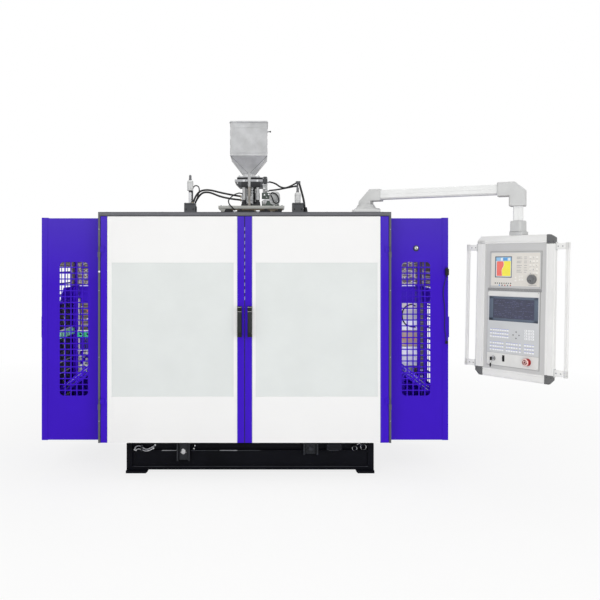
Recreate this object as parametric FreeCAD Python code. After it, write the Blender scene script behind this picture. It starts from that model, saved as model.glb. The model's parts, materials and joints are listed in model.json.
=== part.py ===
import FreeCAD, Part
import os
import math

os.makedirs("parts", exist_ok=True)
V = FreeCAD.Vector

# Double-station extrusion blow moulding machine.
# Millimetres. X to the right, Y to the back, Z up. The floor is Z = 0 and the
# origin lies at the centre of the four anchor holes.

# ---------------------------------------------------------------- clearances
RUN = 0.05            # radial running fit of shafts in their bores
SLIDE = 0.5           # gap between a shoe and its rail
PART_GAP = 0.2        # half of the gap left between two closed mould faces

# ---------------------------------------------------------------- base
BASE_X = (-911.0, 989.0)
BASE_Y = 770.0        # front and rear faces at minus and plus this value
BASE_BEAM = 80.0
PAD_T = 19.0
FLANGE_T = 27.0
BEAM_TOP = 169.0
DECK_TOP = 230.0
PAD_LEN = (166.0, 138.0)
PAD_OUT = 34.0        # how far a foot pad stands out past the beam
ANCHOR_X = 880.0
ANCHOR_Y = 787.0
ANCHOR_R = 9.0

# ---------------------------------------------------------------- portal, doors
PORTAL_X = 1100.0
PORTAL_TOP = 1990.0
DOOR_FACE = -900.0
DOOR_T = 40.0
DOOR_Z = (258.0, 1956.0)
DOOR_EDGE = 1080.0
DOOR_MEET = 3.0
STILE_OUT = 49.0
STILE_IN = 52.0
SKIN_T = 3.0
WINDOW_X = (80.0, 1000.0)
WINDOW_Z = (602.0, 1612.0)
WINDOW_LAP = 12.0
WINDOW_T = 5.0
LIP_IN = 1084.0
SILL_Z = (246.0, 290.0)
LIP_FRONT = -898.0
POST_BACK = -790.0
POST_FRONT = -850.0
HANDLE_X = 38.0
HANDLE_Z = (1054.0, 1279.0)
HANDLE_W = 30.0
HANDLE_OUT = 46.0
HINGE_X = 1088.0
HINGE_Y = -909.0
HINGE_R = 8.0
HINGE_PIN_R = 4.0
HINGE_Z = (548.0, 1690.0)
HINGE_LEN = 40.0      # one knuckle
HINGE_OFF = HINGE_R + 1.0     # axis of a side hinge, outside the sheet it serves

# ---------------------------------------------------------------- wings
WING_X = 1550.0
WING_FACE = -810.0
WING_Z = (258.0, 1948.0)
WING_STRIP = 46.0
WING_REAR = 110.0
SHEET_T = 3.0
SHEET_FOLD = 36.0
POST = 44.0
GRILLE_X = (1197.0, 1413.0)
GRILLE_Z = (595.0, 1614.0)
GRILLE_N = (5, 23)
GRILLE_BAR = 9.0
GRILLE_ROUND = 30.0
SIDE_GRILLE_N = (7, 11)
SIDE_GRILLE_BAR = 14.0
REAR_BEAM_Z = (1257.0, 1400.0)
CHUTE_TOP = (985.0, 934.0)
CHUTE_END = (1500.0, 531.0)
CHUTE_Y = (-420.0, 20.0)
CHUTE_LIP = 60.0
LOCK_X = 1305.0
LOCK_Z = 1721.0
LOCK_R = 17.0
SWITCH_Z = 1538.0

# ---------------------------------------------------------------- machine frame
COL = 100.0
COL_X = 750.0
COL_Y = (-590.0, 640.0)
UPPER_Z = (1640.0, 1740.0)
SPINE_X = (190.0, 270.0)
SPINE_END = 1300.0
LEG_X = (250.0, 310.0)
DECK_PLATE_T = 10.0

# ---------------------------------------------------------------- clamps
STATION = (-480.0, 433.0)     # rest positions of the two clamps
CLAMP_Y = -200.0              # parting plane, die head and blow pins
CLAMP_STROKE = 139.8
PLATEN_HALF = 200.0
PLATEN_T = 50.0
PLATEN_Z = (380.0, 1300.0)
MOULD_HALF = 125.0
MOULD_T = 120.0
MOULD_Z = (930.0, 1290.0)
BOTTLE_R = 50.0
BOTTLE_Z = (975.0, 1195.0, 1240.0)
NECK_R = 16.0
TIE_R = 22.0
TIE_X = 165.0
TIE_Z = (905.0, 1236.0)
CYL_Z = 1080.0
CYL_R = 85.0
CYL_BORE = 70.0
ROD_R = 30.0
TAIL_Y = 300.0
BARREL_LEN = 350.0
GUIDE_PIN_R = 8.0
CROSS_RAIL_Y = (-450.0, 350.0)
CROSS_RAIL_W = 30.0
CROSS_RAIL_H = 32.0
CROSS_RAIL_X = 690.0
CARRIAGE_Z = (300.0, 330.0)
CARRIAGE_Y = (-600.0, 590.0)
CARRIAGE_HALF = 190.0
LONG_RAIL_X = 130.0
LONG_RAIL = 24.0

# ---------------------------------------------------------------- head, extruder
HEAD_R = 130.0
HEAD_Z = (1330.0, 1400.0, 1960.0, 1985.0)
DIE_R = 100.0
AXIS_Z = 1880.0
BARREL_R = 65.0
HEATER_R = 88.0
HOPPER_Y = 900.0
HOPPER_HALF = 182.0
HOPPER_Z = (2490.0, 2658.0, 3000.0)
HOPPER_FOOT = 64.0
HOPPER_WALL = 3.0
NECK_X = (-135.0, 164.0)
NECK_Y = (800.0, 1000.0)
NECK_BLOCK_Z = (2359.0, 2415.0, 2435.0, 2455.0)
THROAT_R = 40.0
FEED_TOP = 2000.0

# ---------------------------------------------------------------- roof gear
STAND_X = (-236.0, 317.0)
STAND_Y = (-290.0, -110.0)
STAND_Z = (2047.0, 2060.0, 2086.0)
BLOCK_HALF = 47.0
BLOCK_TOP = 2113.0
PIN_R = 13.5
PIN_STROKE = 104.0
SLEEVE_R = 26.0
SLEEVE_Z = (2219.0, 2309.0, 2355.0)
NOZZLE_Z = (1374.0, 1400.0, 1420.0, 1470.0)
NOZZLE_R = (12.0, 17.0, 20.0)

# ---------------------------------------------------------------- control arm
ARM_AT = (929.0, -770.0)
ARM_YAW = -26.4
ARM_LEN = 1106.0
ARM_Z = (2088.0, 2160.0)
ARM_HALF = 35.0
PANEL_AT = (ARM_AT[0] + ARM_LEN * math.cos(math.radians(ARM_YAW)),
            ARM_AT[1] + ARM_LEN * math.sin(math.radians(ARM_YAW)))
PANEL_YAW = -52.6
PANEL_TILT = 1.9      # degrees that the face looks up
PANEL_HALF = 302.0
PANEL_Z = (800.0, 1798.0)
PANEL_DEPTH = 120.0
PANEL_FRAME = 22.0    # depth of the front frame
PANEL_CORNER = 32.0
FACE_HALF = 238.0
FACE_Z = (857.0, 1743.0)
SCREENS = ((-151.0, -18.0, 1503.0, 1652.0), (-193.0, 188.0, 1198.0, 1370.0))
MODULES = ((-190.0, 203.0, 1436.0, 1683.0), (-205.0, 196.0, 884.0, 1408.0))
KNOB_AT = (141.0, 1494.0)
STOP_AT = (117.0, 931.0)
KEY_AT = (-150.0, 931.0)
HANDLE_OUTER = 396.0
HANDLE_BAR = (24.0, 16.0)
HANDLE_FOOT = 50.0
PANEL_HANDLE_Z = (856.0, 1742.0)

HOSE_D = 16.0
VALVE_HOSE_D = 14.0
LOOP_D = 10.0
DROP_D = 18.0
CABLE_D = 6.0


# ---------------------------------------------------------------- helpers
def box(x0, x1, y0, y1, z0, z1):
    return Part.makeBox(x1 - x0, y1 - y0, z1 - z0, V(x0, y0, z0))


def zcyl(x, y, z0, z1, r):
    return Part.makeCylinder(r, z1 - z0, V(x, y, z0), V(0, 0, 1))


def ycyl(x, z, y0, y1, r):
    return Part.makeCylinder(r, y1 - y0, V(x, y0, z), V(0, 1, 0))


def xcyl(y, z, x0, x1, r):
    return Part.makeCylinder(r, x1 - x0, V(x0, y, z), V(1, 0, 0))


def join(shapes):
    out = shapes[0].multiFuse(shapes[1:])
    return out.removeSplitter()


def cut(shape, tools):
    return shape.cut(Part.makeCompound(tools))


def welded(shapes):
    """Bars and plates that meet face to face: each gives way to those before it."""
    out = []
    for s in shapes:
        for q in out:
            if s.BoundBox.intersect(q.BoundBox):
                s = s.cut(q)
        out += s.Solids
    return Part.makeCompound(out)


def flip_x(shape):
    return shape.mirror(V(0, 0, 0), V(1, 0, 0))


def prism(points, axis, a, b):
    """Extrude a closed outline; points are in the plane normal to the axis."""
    if axis == "x":
        pts = [V(a, p[0], p[1]) for p in points]
        way = V(b - a, 0, 0)
    elif axis == "y":
        pts = [V(p[0], a, p[1]) for p in points]
        way = V(0, b - a, 0)
    else:
        pts = [V(p[0], p[1], a) for p in points]
        way = V(0, 0, b - a)
    wire = Part.makePolygon(pts + [pts[0]])
    return Part.Face(wire).extrude(way)


def round_rect(x0, x1, z0, z1, y0, y1, r):
    """Upright rounded rectangle, extruded along Y."""
    parts = [box(x0 + r, x1 - r, y0, y1, z0, z1), box(x0, x1, y0, y1, z0 + r, z1 - r)]
    for x in (x0 + r, x1 - r):
        for z in (z0 + r, z1 - r):
            parts.append(ycyl(x, z, y0, y1, r))
    return join(parts)


def frustum(half_a, z_a, half_b, z_b, y):
    wires = []
    for half, z in ((half_a, z_a), (half_b, z_b)):
        pts = [V(-half, y - half, z), V(half, y - half, z), V(half, y + half, z), V(-half, y + half, z)]
        wires.append(Part.makePolygon(pts + [pts[0]]))
    return Part.makeLoft(wires, True, True)


def cells(x0, x1, z0, z1, nx, nz, bar, y0, y1):
    """Square openings of a grille, bars of one width between them."""
    px = (x1 - x0 + bar) / nx
    pz = (z1 - z0 + bar) / nz
    out = []
    for i in range(nx):
        for k in range(nz):
            a = x0 + i * px
            c = z0 + k * pz
            out.append(box(a, a + px - bar, y0, y1, c, c + pz - bar))
    return out


def placed(shape, at, yaw):
    s = shape.copy()
    s.rotate(V(0, 0, 0), V(0, 0, 1), yaw)
    s.translate(V(at[0], at[1], 0))
    return s


def save(name, shape):
    if shape.isNull() or not shape.isValid():
        raise RuntimeError("bad shape " + name)
    shape.exportStep("parts/" + name + ".step")


def hose(name, points, diameter):
    """Round hose of straight runs joined by tangent arcs."""
    pts = [V(*p) for p in points]
    edges = []
    start = pts[0]
    radii = []
    turns = []
    for i in range(1, len(pts) - 1):
        back = (pts[i - 1] - pts[i])
        on = (pts[i + 1] - pts[i])
        shorter = min(back.Length, on.Length)
        turn = math.pi - back.getAngle(on)
        turns.append(round(math.degrees(turn)))
        trim = 0.45 * shorter
        radii.append(trim / math.tan(turn / 2))
        a = pts[i] + back.normalize() * trim
        b = pts[i] + on.normalize() * trim
        centre_way = (back + on).normalize()
        mid = pts[i] + centre_way * (radii[-1] / math.cos(turn / 2) - radii[-1])
        edges.append(Part.LineSegment(start, a).toShape())
        edges.append(Part.Arc(a, mid, b).toShape())
        start = b
    edges.append(Part.LineSegment(start, pts[-1]).toShape())
    path = Part.Wire(edges)
    way = (pts[1] - pts[0]).normalize()
    ring = Part.Wire([Part.makeCircle(diameter / 2, pts[0], way)])
    body = path.makePipeShell([ring], True, False, 2)
    section = math.pi * diameter * diameter / 4
    print(name, "length", round(path.Length), "radii", [round(r) for r in radii],
          "turns", turns, "fill", round(body.Volume / (section * path.Length), 4))
    save(name, body)


# ---------------------------------------------------------------- base frame
def bracket(a, b, z0, z1):
    """Cheeked block with a boss on the front of the base."""
    front = -BASE_Y
    parts = [box(a, b, front - 10, front, z0, z1)]
    for c in (a, b - 14):
        parts.append(box(c, c + 14, front - 34, front, z0, z1))
    parts.append(ycyl((a + b) / 2, (z0 + z1) / 2, front - 24, front, 17))
    return join(parts)


def base_frame():
    x0, x1 = BASE_X
    web = 15.0
    inner = BASE_Y - BASE_BEAM
    parts = []
    for side in (-1, 1):
        lo, hi = sorted((side * BASE_Y, side * inner))
        beam = [box(x0, x1, lo + web, hi - web, PAD_T, BEAM_TOP)]
        beam.append(box(x0, x1, lo, hi, PAD_T, PAD_T + FLANGE_T))
        beam.append(box(x0, x1, lo, hi, BEAM_TOP - 10, BEAM_TOP))
        for a, b in ((x0, x0 + 44), (x1 - 44, x1)):
            beam.append(box(a, b, lo, hi, PAD_T, DECK_TOP - 12))
        parts.append(join(beam))
        d_in, d_out = sorted((side * (BASE_Y - 24), side * (BASE_Y - 110)))
        parts.append(box(x0 + 6, x1 - 6, d_in, d_out, BEAM_TOP, DECK_TOP))
        p_in, p_out = sorted((side * (BASE_Y + PAD_OUT), side * inner))
        pads = ((x0, x0 + PAD_LEN[0], x0 + PAD_LEN[0]), (x1 - PAD_LEN[1], x1, x1 - PAD_LEN[1]))
        for a, b, end in pads:
            pad = box(a, b, p_in, p_out, 0, PAD_T)
            way = 1 if end == b else -1
            pts = [(end + way * 2, -2), (end - way * 14, -2), (end + way * 2, 14)]
            parts.append(pad.cut(prism(pts, "y", p_in - 5, p_out + 5)))
    for a, b in ((x0, x0 + BASE_BEAM), (x1 - BASE_BEAM, x1)):
        parts.append(box(a, b, -inner, inner, PAD_T, DECK_TOP))
    for y in CROSS_RAIL_Y:
        parts.append(box(x0 + 40, x1 - 40, y - 45, y + 45, 100, DECK_TOP))
    parts.append(bracket(-523, -420, 92, 228))
    parts.append(bracket(445, 560, 138, 228))
    holes = []
    for x in (-ANCHOR_X, ANCHOR_X):
        for y in (-ANCHOR_Y, ANCHOR_Y):
            holes.append(zcyl(x, y, -5, PAD_T + 10, ANCHOR_R))
    save("base_frame", cut(welded(parts), holes))


# ---------------------------------------------------------------- machine frame
def machine_frame():
    z0, z1 = UPPER_Z
    h = COL / 2
    parts = []
    for x in (-COL_X, COL_X):
        for y in COL_Y:
            parts.append(box(x - h, x + h, y - h, y + h, DECK_TOP, z1))
    for x in (-COL_X, COL_X):
        parts.append(box(x - h, x + h, COL_Y[0], COL_Y[1], z0, z1))
        parts.append(box(x - 45, x + 45, -BASE_Y + 60, BASE_Y - 60, DECK_TOP, DECK_TOP + 20))
    for y in COL_Y:
        parts.append(box(-COL_X, COL_X, y - h, y + h, z0, z1))
    for side in (-1, 1):
        a, b = sorted((side * SPINE_X[0], side * SPINE_X[1]))
        parts.append(box(a, b, COL_Y[0], SPINE_END, z0, z1))
        c, d = sorted((side * LEG_X[0], side * LEG_X[1]))
        parts.append(box(c, d, SPINE_END - 60, SPINE_END, 0, z1))
        parts.append(box(c, d, BASE_Y - 100, SPINE_END, DECK_TOP, DECK_TOP + 60))
    parts.append(box(-SPINE_X[1], SPINE_X[1], NECK_Y[0] - 30, SPINE_END, z1, z1 + DECK_PLATE_T))
    for x in STATION:
        for side in (-1, 1):
            a, b = sorted((x + side * 48, x + side * 88))
            parts.append(box(a, b, COL_Y[0], COL_Y[1], z0 + 20, z1))
    save("machine_frame", welded(parts))


# ---------------------------------------------------------------- portal frame
def knuckle(x, y, z0, z1, pin):
    body = zcyl(x, y, z0, z1, HINGE_R)
    return body if pin else body.cut(zcyl(x, y, z0 - 1, z1 + 1, HINGE_PIN_R + RUN))


def portal_frame():
    top = PORTAL_TOP
    parts = []
    for side in (-1, 1):
        a, b = sorted((side * 1040.0, side * PORTAL_X))
        post = [box(a, b, POST_FRONT, POST_BACK, SILL_Z[0], top)]
        c, d = sorted((side * LIP_IN, side * PORTAL_X))
        post.append(box(c, d, LIP_FRONT, POST_FRONT, DOOR_Z[0] - 2, top))
        e, f = sorted((side * (HINGE_X + 1), side * PORTAL_X))
        for z in HINGE_Z:
            post.append(knuckle(side * HINGE_X, HINGE_Y, z - HINGE_LEN, z, True))
            post.append(zcyl(side * HINGE_X, HINGE_Y, z - 2, z + HINGE_LEN - 2, HINGE_PIN_R))
            post.append(box(e, f, HINGE_Y - 4, LIP_FRONT, z - HINGE_LEN, z))
        parts.append(join(post))
    parts.append(join([box(-PORTAL_X, PORTAL_X, POST_FRONT, POST_BACK, 1910, top),
                       box(-PORTAL_X, PORTAL_X, LIP_FRONT, POST_FRONT, DOOR_Z[1] + 4, top)]))
    parts.append(box(-PORTAL_X, PORTAL_X, POST_FRONT, POST_BACK, SILL_Z[0], SILL_Z[1]))
    parts.append(box(BASE_X[0], BASE_X[1], POST_BACK, -BASE_Y + 60, DECK_TOP, SILL_Z[1]))
    for side in (-1, 1):
        a, b = sorted((side * 1060.0, side * PORTAL_X))
        parts.append(box(a, b, -680, -640, DECK_TOP, top))
        parts.append(box(a, b, POST_BACK, -640, DECK_TOP, SILL_Z[1]))
    parts.append(box(-PORTAL_X, PORTAL_X, POST_BACK, -640, top - 30, top))
    save("portal_frame", welded(parts))


# ---------------------------------------------------------------- front doors
def door(side):
    """One door leaf, its white skin, window and handle. Side -1 is the left."""
    y0 = DOOR_FACE
    y1 = DOOR_FACE + DOOR_T
    z0, z1 = DOOR_Z
    edge, meet = DOOR_EDGE, DOOR_MEET
    leaf = [box(edge - STILE_OUT, edge, y0, y1, z0, z1), box(meet, meet + STILE_IN, y0, y1, z0, z1)]
    wx0, wx1 = WINDOW_X
    wz0, wz1 = WINDOW_Z
    ys = y0 + SKIN_T
    lap = WINDOW_LAP
    rails = [(z0, z0 + 44), (wz0 - lap - 44, wz0 - lap), (wz1 + lap, wz1 + lap + 44), (z1 - 44, z1)]
    for a, b in rails:
        leaf.append(box(meet + STILE_IN - 1, edge - STILE_OUT + 1, ys, y1, a, b))
    leaf.append(box(meet + STILE_IN - 1, wx0 - lap, ys, y1, z0, z1))
    leaf.append(box(wx1 + lap, edge - STILE_OUT + 1, ys, y1, z0, z1))
    for z in HINGE_Z:
        a = z + PART_GAP
        leaf.append(box(edge - 26, edge + 1, HINGE_Y + 1, y0, a, a + HINGE_LEN))
        leaf.append(knuckle(HINGE_X, HINGE_Y, a, a + HINGE_LEN, False))
    body = join(leaf)
    bores = [zcyl(HINGE_X, HINGE_Y, z - 1, z + HINGE_LEN + 2, HINGE_PIN_R + RUN) for z in HINGE_Z]
    body = cut(body, bores)
    skin = box(meet + STILE_IN, edge - STILE_OUT, y0, ys, z0, z1)
    skin = skin.cut(box(wx0, wx1, y0 - 1, ys + 1, wz0, wz1))
    window = box(wx0 - lap, wx1 + lap, ys, ys + WINDOW_T, wz0 - lap, wz1 + lap)
    hx0, hx1 = HANDLE_X - HANDLE_W / 2, HANDLE_X + HANDLE_W / 2
    hz0, hz1 = HANDLE_Z
    grip = box(hx0, hx1, y0 - HANDLE_OUT, y0, hz0, hz1)
    grip = grip.cut(box(hx0 - 1, hx1 + 1, y0 - HANDLE_OUT + 16, y0 + 1, hz0 + 34, hz1 - 34))
    edges = [e for e in grip.Edges if abs(e.BoundBox.YMin - (y0 - HANDLE_OUT)) < 0.1
             and abs(e.BoundBox.YMax - (y0 - HANDLE_OUT)) < 0.1]
    grip = grip.makeChamfer(5.0, edges)
    names = ("left_door", "right_door")[(side + 1) // 2]
    for name, s in (("", body), ("_skin", skin), ("_window", window), ("_handle", grip)):
        save(names + name, s if side > 0 else flip_x(s))


# ---------------------------------------------------------------- wings
def wing_cover():
    x0, x1 = PORTAL_X, WING_X - WING_STRIP
    y0 = WING_FACE
    z0, z1 = WING_Z
    pan = box(x0, x1, y0, y0 + SHEET_FOLD, z0, z1)
    pan = pan.cut(box(x0 + SHEET_T, x1 - SHEET_T, y0 + SHEET_T, y0 + SHEET_FOLD + 1,
                      z0 + SHEET_T, z1 - SHEET_T))
    gx0, gx1 = GRILLE_X
    gz0, gz1 = GRILLE_Z
    holes = cells(gx0, gx1, gz0, gz1, GRILLE_N[0], GRILLE_N[1], GRILLE_BAR, y0 - 1, y0 + SHEET_T + 1)
    outline = round_rect(gx0, gx1, gz0, gz1, y0 - 1, y0 + SHEET_T + 1, GRILLE_ROUND)
    corner = []
    for h in holes:
        c = h.BoundBox
        edge_x = c.XMin < gx0 + 1 or c.XMax > gx1 - 1
        edge_z = c.ZMin < gz0 + 1 or c.ZMax > gz1 - 1
        corner.append(h.common(outline) if edge_x and edge_z else h)
    return cut(pan, corner)


def wing_covers():
    cover = wing_cover()
    lock = ycyl(LOCK_X, LOCK_Z, WING_FACE - 9, WING_FACE + 1, LOCK_R)
    slot = box(LOCK_X - 8, LOCK_X + 8, WING_FACE - 10, WING_FACE - 6, LOCK_Z - 1.5, LOCK_Z + 1.5)
    save("right_wing_cover", cover.fuse(lock).cut(slot))
    save("left_wing_cover", flip_x(cover))


def wing_frame():
    z0, z1 = WING_Z
    p = POST
    rear = WING_REAR
    behind = WING_FACE + SHEET_FOLD
    outer = [box(WING_X - p, WING_X, rear - p, rear, z0, z1)]
    hinge = WING_X + HINGE_OFF
    for z in HINGE_Z:
        outer.append(zcyl(hinge, rear - 8, z - HINGE_LEN, z, HINGE_R))
        outer.append(zcyl(hinge, rear - 8, z - 2, z + HINGE_LEN - 2, HINGE_PIN_R))
        outer.append(box(WING_X - 4, hinge, rear - 14, rear - 2, z - HINGE_LEN, z))
    parts = [join([box(WING_X - WING_STRIP, WING_X, WING_FACE - 2, WING_FACE + 42, z0 - 2, z1 + 4),
                   box(WING_X - WING_STRIP, WING_X, WING_FACE + 20, behind + 30, z0, z1)])]
    parts.append(join(outer))
    parts.append(box(PORTAL_X, PORTAL_X + p, rear - p, rear, z0, z1))
    parts.append(box(PORTAL_X, PORTAL_X + 30, behind, behind + 30, z0, z1))
    for a, b in ((z0, z0 + 40), (z1 - 40, z1)):
        parts.append(box(PORTAL_X, WING_X, rear - p, rear, a, b))
        parts.append(box(PORTAL_X, WING_X - 4, behind, behind + 30, a, b))
        parts.append(box(PORTAL_X, PORTAL_X + 40, behind, rear, a, b))
    parts.append(box(WING_X - 100, WING_X - p, behind, rear, z0, z0 + 24))
    parts.append(box(WING_X - 100, WING_X - p, behind, rear, z1 - 24, z1))
    parts.append(box(PORTAL_X, WING_X, rear - 40, rear, REAR_BEAM_Z[0], REAR_BEAM_Z[1]))
    (cx0, cz0), (cx1, cz1) = CHUTE_TOP, CHUTE_END
    run = math.hypot(cx1 - cx0, cz1 - cz0)
    nx, nz = -(cz1 - cz0) / run, (cx1 - cx0) / run
    t, lip = 4.0, CHUTE_LIP
    floor = [(cx0, cz0), (cx1, cz1), (cx1 - nx * t, cz1 - nz * t), (cx0 - nx * t, cz0 - nz * t)]
    wall = [(cx0 + nx * lip, cz0 + nz * lip), (cx1 + nx * lip, cz1 + nz * lip), (cx1, cz1), (cx0, cz0)]
    parts.append(prism(floor, "y", CHUTE_Y[0], CHUTE_Y[1]))
    for y in (CHUTE_Y[0], CHUTE_Y[1] - t):
        parts.append(prism(wall, "y", y, y + t))
    drop = (cz0 - cz1) / (cx1 - cx0)
    skirt = [(PORTAL_X + POST, z0 + 40), (cx1, z0 + 40), (cx1, cz1 - 5),
             (PORTAL_X + POST, cz1 - 5 + drop * (cx1 - PORTAL_X - POST))]
    parts.append(prism(skirt, "y", CHUTE_Y[1] - t, CHUTE_Y[1]))
    mid = 0.55
    mx, mz = cx0 + (cx1 - cx0) * mid, cz0 + (cz1 - cz0) * mid
    parts.append(box(mx - 20, mx + 20, CHUTE_Y[0] - 40, rear - 10, mz - 60, mz - 20))
    parts.append(box(mx - 20, mx + 20, rear - 50, rear, z0, mz - 20))
    parts.append(box(mx - 20, mx + 20, CHUTE_Y[0] - 40, CHUTE_Y[0], z0, mz - 20))
    parts.append(box(PORTAL_X, WING_X - p, CHUTE_Y[0] - 40, CHUTE_Y[0], z0, z0 + 40))
    saddle = box(mx - 18, mx + 18, CHUTE_Y[0] + 10, CHUTE_Y[1] - 10, mz - 50, mz)
    slope = [(mx - 40, mz + 100), (mx + 40, mz + 100), (mx + 40, mz - 40 * (cz0 - cz1) / (cx1 - cx0)),
             (mx - 40, mz + 40 * (cz0 - cz1) / (cx1 - cx0))]
    parts.append(saddle.cut(prism(slope, "y", CHUTE_Y[0], CHUTE_Y[1])))
    return welded(parts)


def wing_frames():
    frame = wing_frame()
    save("wing_frames", Part.makeCompound(frame.Solids + flip_x(frame).Solids))


def side_door(side):
    rear = WING_REAR
    y0 = WING_FACE + SHEET_FOLD + 33.0
    y1 = rear - POST - 3.0
    x0, x1 = WING_X - 34.0, WING_X - 2.0
    z0, z1 = WING_Z[0] + 30.0, WING_Z[1] - 30.0
    parts = [box(x0, x1, y0, y1, z0, z1)]
    leaf = parts[0].cut(box(x0 - 1, x1 - SHEET_T, y0 + 30, y1 - 30, z0 + 30, z1 - 30))
    gy0, gy1 = y0 + 90, y1 - 90
    nz = SIDE_GRILLE_N[1]
    py = (gy1 - gy0 + SIDE_GRILLE_BAR) / SIDE_GRILLE_N[0]
    pz = (GRILLE_Z[1] - GRILLE_Z[0] + SIDE_GRILLE_BAR) / nz
    holes = []
    for i in range(SIDE_GRILLE_N[0]):
        for k in range(nz):
            a = gy0 + i * py
            c = GRILLE_Z[0] + k * pz
            holes.append(box(x1 - SHEET_T - 2, x1 + 2, a, a + py - SIDE_GRILLE_BAR, c, c + pz - SIDE_GRILLE_BAR))
    leaf = cut(leaf, holes)
    extra = []
    hinge = WING_X + HINGE_OFF
    for z in HINGE_Z:
        a = z + PART_GAP
        extra.append(zcyl(hinge, rear - 8, a, a + HINGE_LEN, HINGE_R))
        extra.append(box(WING_X + 0.6, hinge, y1 - 40, rear - 8, a, a + HINGE_LEN))
        extra.append(box(WING_X - 4, hinge, y1 - 40, y1 - 6, a, a + HINGE_LEN))
    pull = [box(x1, x1 + 22, y0 + 24, y0 + 48, 1030, 1052), box(x1, x1 + 22, y0 + 24, y0 + 48, 1168, 1190),
            box(x1 + 22, x1 + 34, y0 + 24, y0 + 48, 1030, 1190)]
    leaf = leaf.multiFuse(extra)
    bores = [zcyl(hinge, rear - 8, z - 1, z + HINGE_LEN + 2, HINGE_PIN_R + RUN) for z in HINGE_Z]
    leaf = Part.makeCompound(cut(leaf, bores).Solids + pull)
    save(("left_side_door", "right_side_door")[(side + 1) // 2], leaf if side > 0 else flip_x(leaf))


def door_switch():
    x = WING_X - 12
    y = WING_FACE - 2
    body = box(x - 14, x + 12, y - 24, y, SWITCH_Z - 24, SWITCH_Z + 24)
    nose = box(x - 8, x + 6, y - 20, y - 4, SWITCH_Z + 24, SWITCH_Z + 34)
    gland = zcyl(x - 4, y - 12, SWITCH_Z - 36, SWITCH_Z - 24, 6.0)
    lower = box(x - 12, x + 6, y - 14, y, 992, 1012)
    save("door_switch", Part.makeCompound([join([body, nose, gland]), lower]))


# ---------------------------------------------------------------- clamps
def carriage_rails():
    parts = []
    h = CROSS_RAIL_W / 2
    for y in CROSS_RAIL_Y:
        rail = box(-CROSS_RAIL_X, CROSS_RAIL_X, y - h, y + h, DECK_TOP, DECK_TOP + CROSS_RAIL_H)
        for s in (-1, 1):
            a, b = sorted((y + s * (h - 4), y + s * (h + 1)))
            rail = rail.cut(box(-CROSS_RAIL_X - 1, CROSS_RAIL_X + 1, a, b, DECK_TOP + 10, DECK_TOP + 20))
        parts.append(rail)
    save("carriage_rails", Part.makeCompound(parts))


def carriage(name, cx):
    z0, z1 = CARRIAGE_Z
    y0, y1 = CARRIAGE_Y
    w = CARRIAGE_HALF
    parts = []
    for s in (-1, 1):
        a, b = sorted((cx + s * 70, cx + s * w))
        parts.append(box(a, b, y0, y1, z0, z1))
        r = cx + s * LONG_RAIL_X
        h = LONG_RAIL / 2
        parts.append(box(r - h, r + h, y0 + 10, y1 - 10, z1, z1 + LONG_RAIL))
    parts.append(box(cx - w, cx + w, y0, y0 + 50, z0, z1))
    parts.append(box(cx - w, cx + w, y1 - 50, y1, z0, z1))
    h = CROSS_RAIL_W / 2 + SLIDE
    for y in CROSS_RAIL_Y:
        for s in (-1, 1):
            a, b = sorted((cx + s * 100, cx + s * 175))
            block = box(a, b, y - 38, y + 38, DECK_TOP + 8, z0 + 1)
            parts.append(block.cut(box(a - 1, b + 1, y - h, y + h, 0, DECK_TOP + CROSS_RAIL_H + SLIDE)))
    save(name, welded(parts))


def plate_on_shoes(cx, y0, y1, foot0, foot1):
    """A platen standing on two shoes that run on the carriage's long rails."""
    top = CARRIAGE_Z[1] + LONG_RAIL + SLIDE
    parts = [box(cx - PLATEN_HALF, cx + PLATEN_HALF, y0, y1, PLATEN_Z[0], PLATEN_Z[1])]
    for s in (-1, 1):
        r = cx + s * LONG_RAIL_X
        h = LONG_RAIL / 2 + SLIDE
        block = box(r - 34, r + 34, foot0, foot1, CARRIAGE_Z[1] + 4, PLATEN_Z[0] + 1)
        parts.append(block.cut(box(r - h, r + h, foot0 - 1, foot1 + 1, 0, top)))
    return parts


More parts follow.
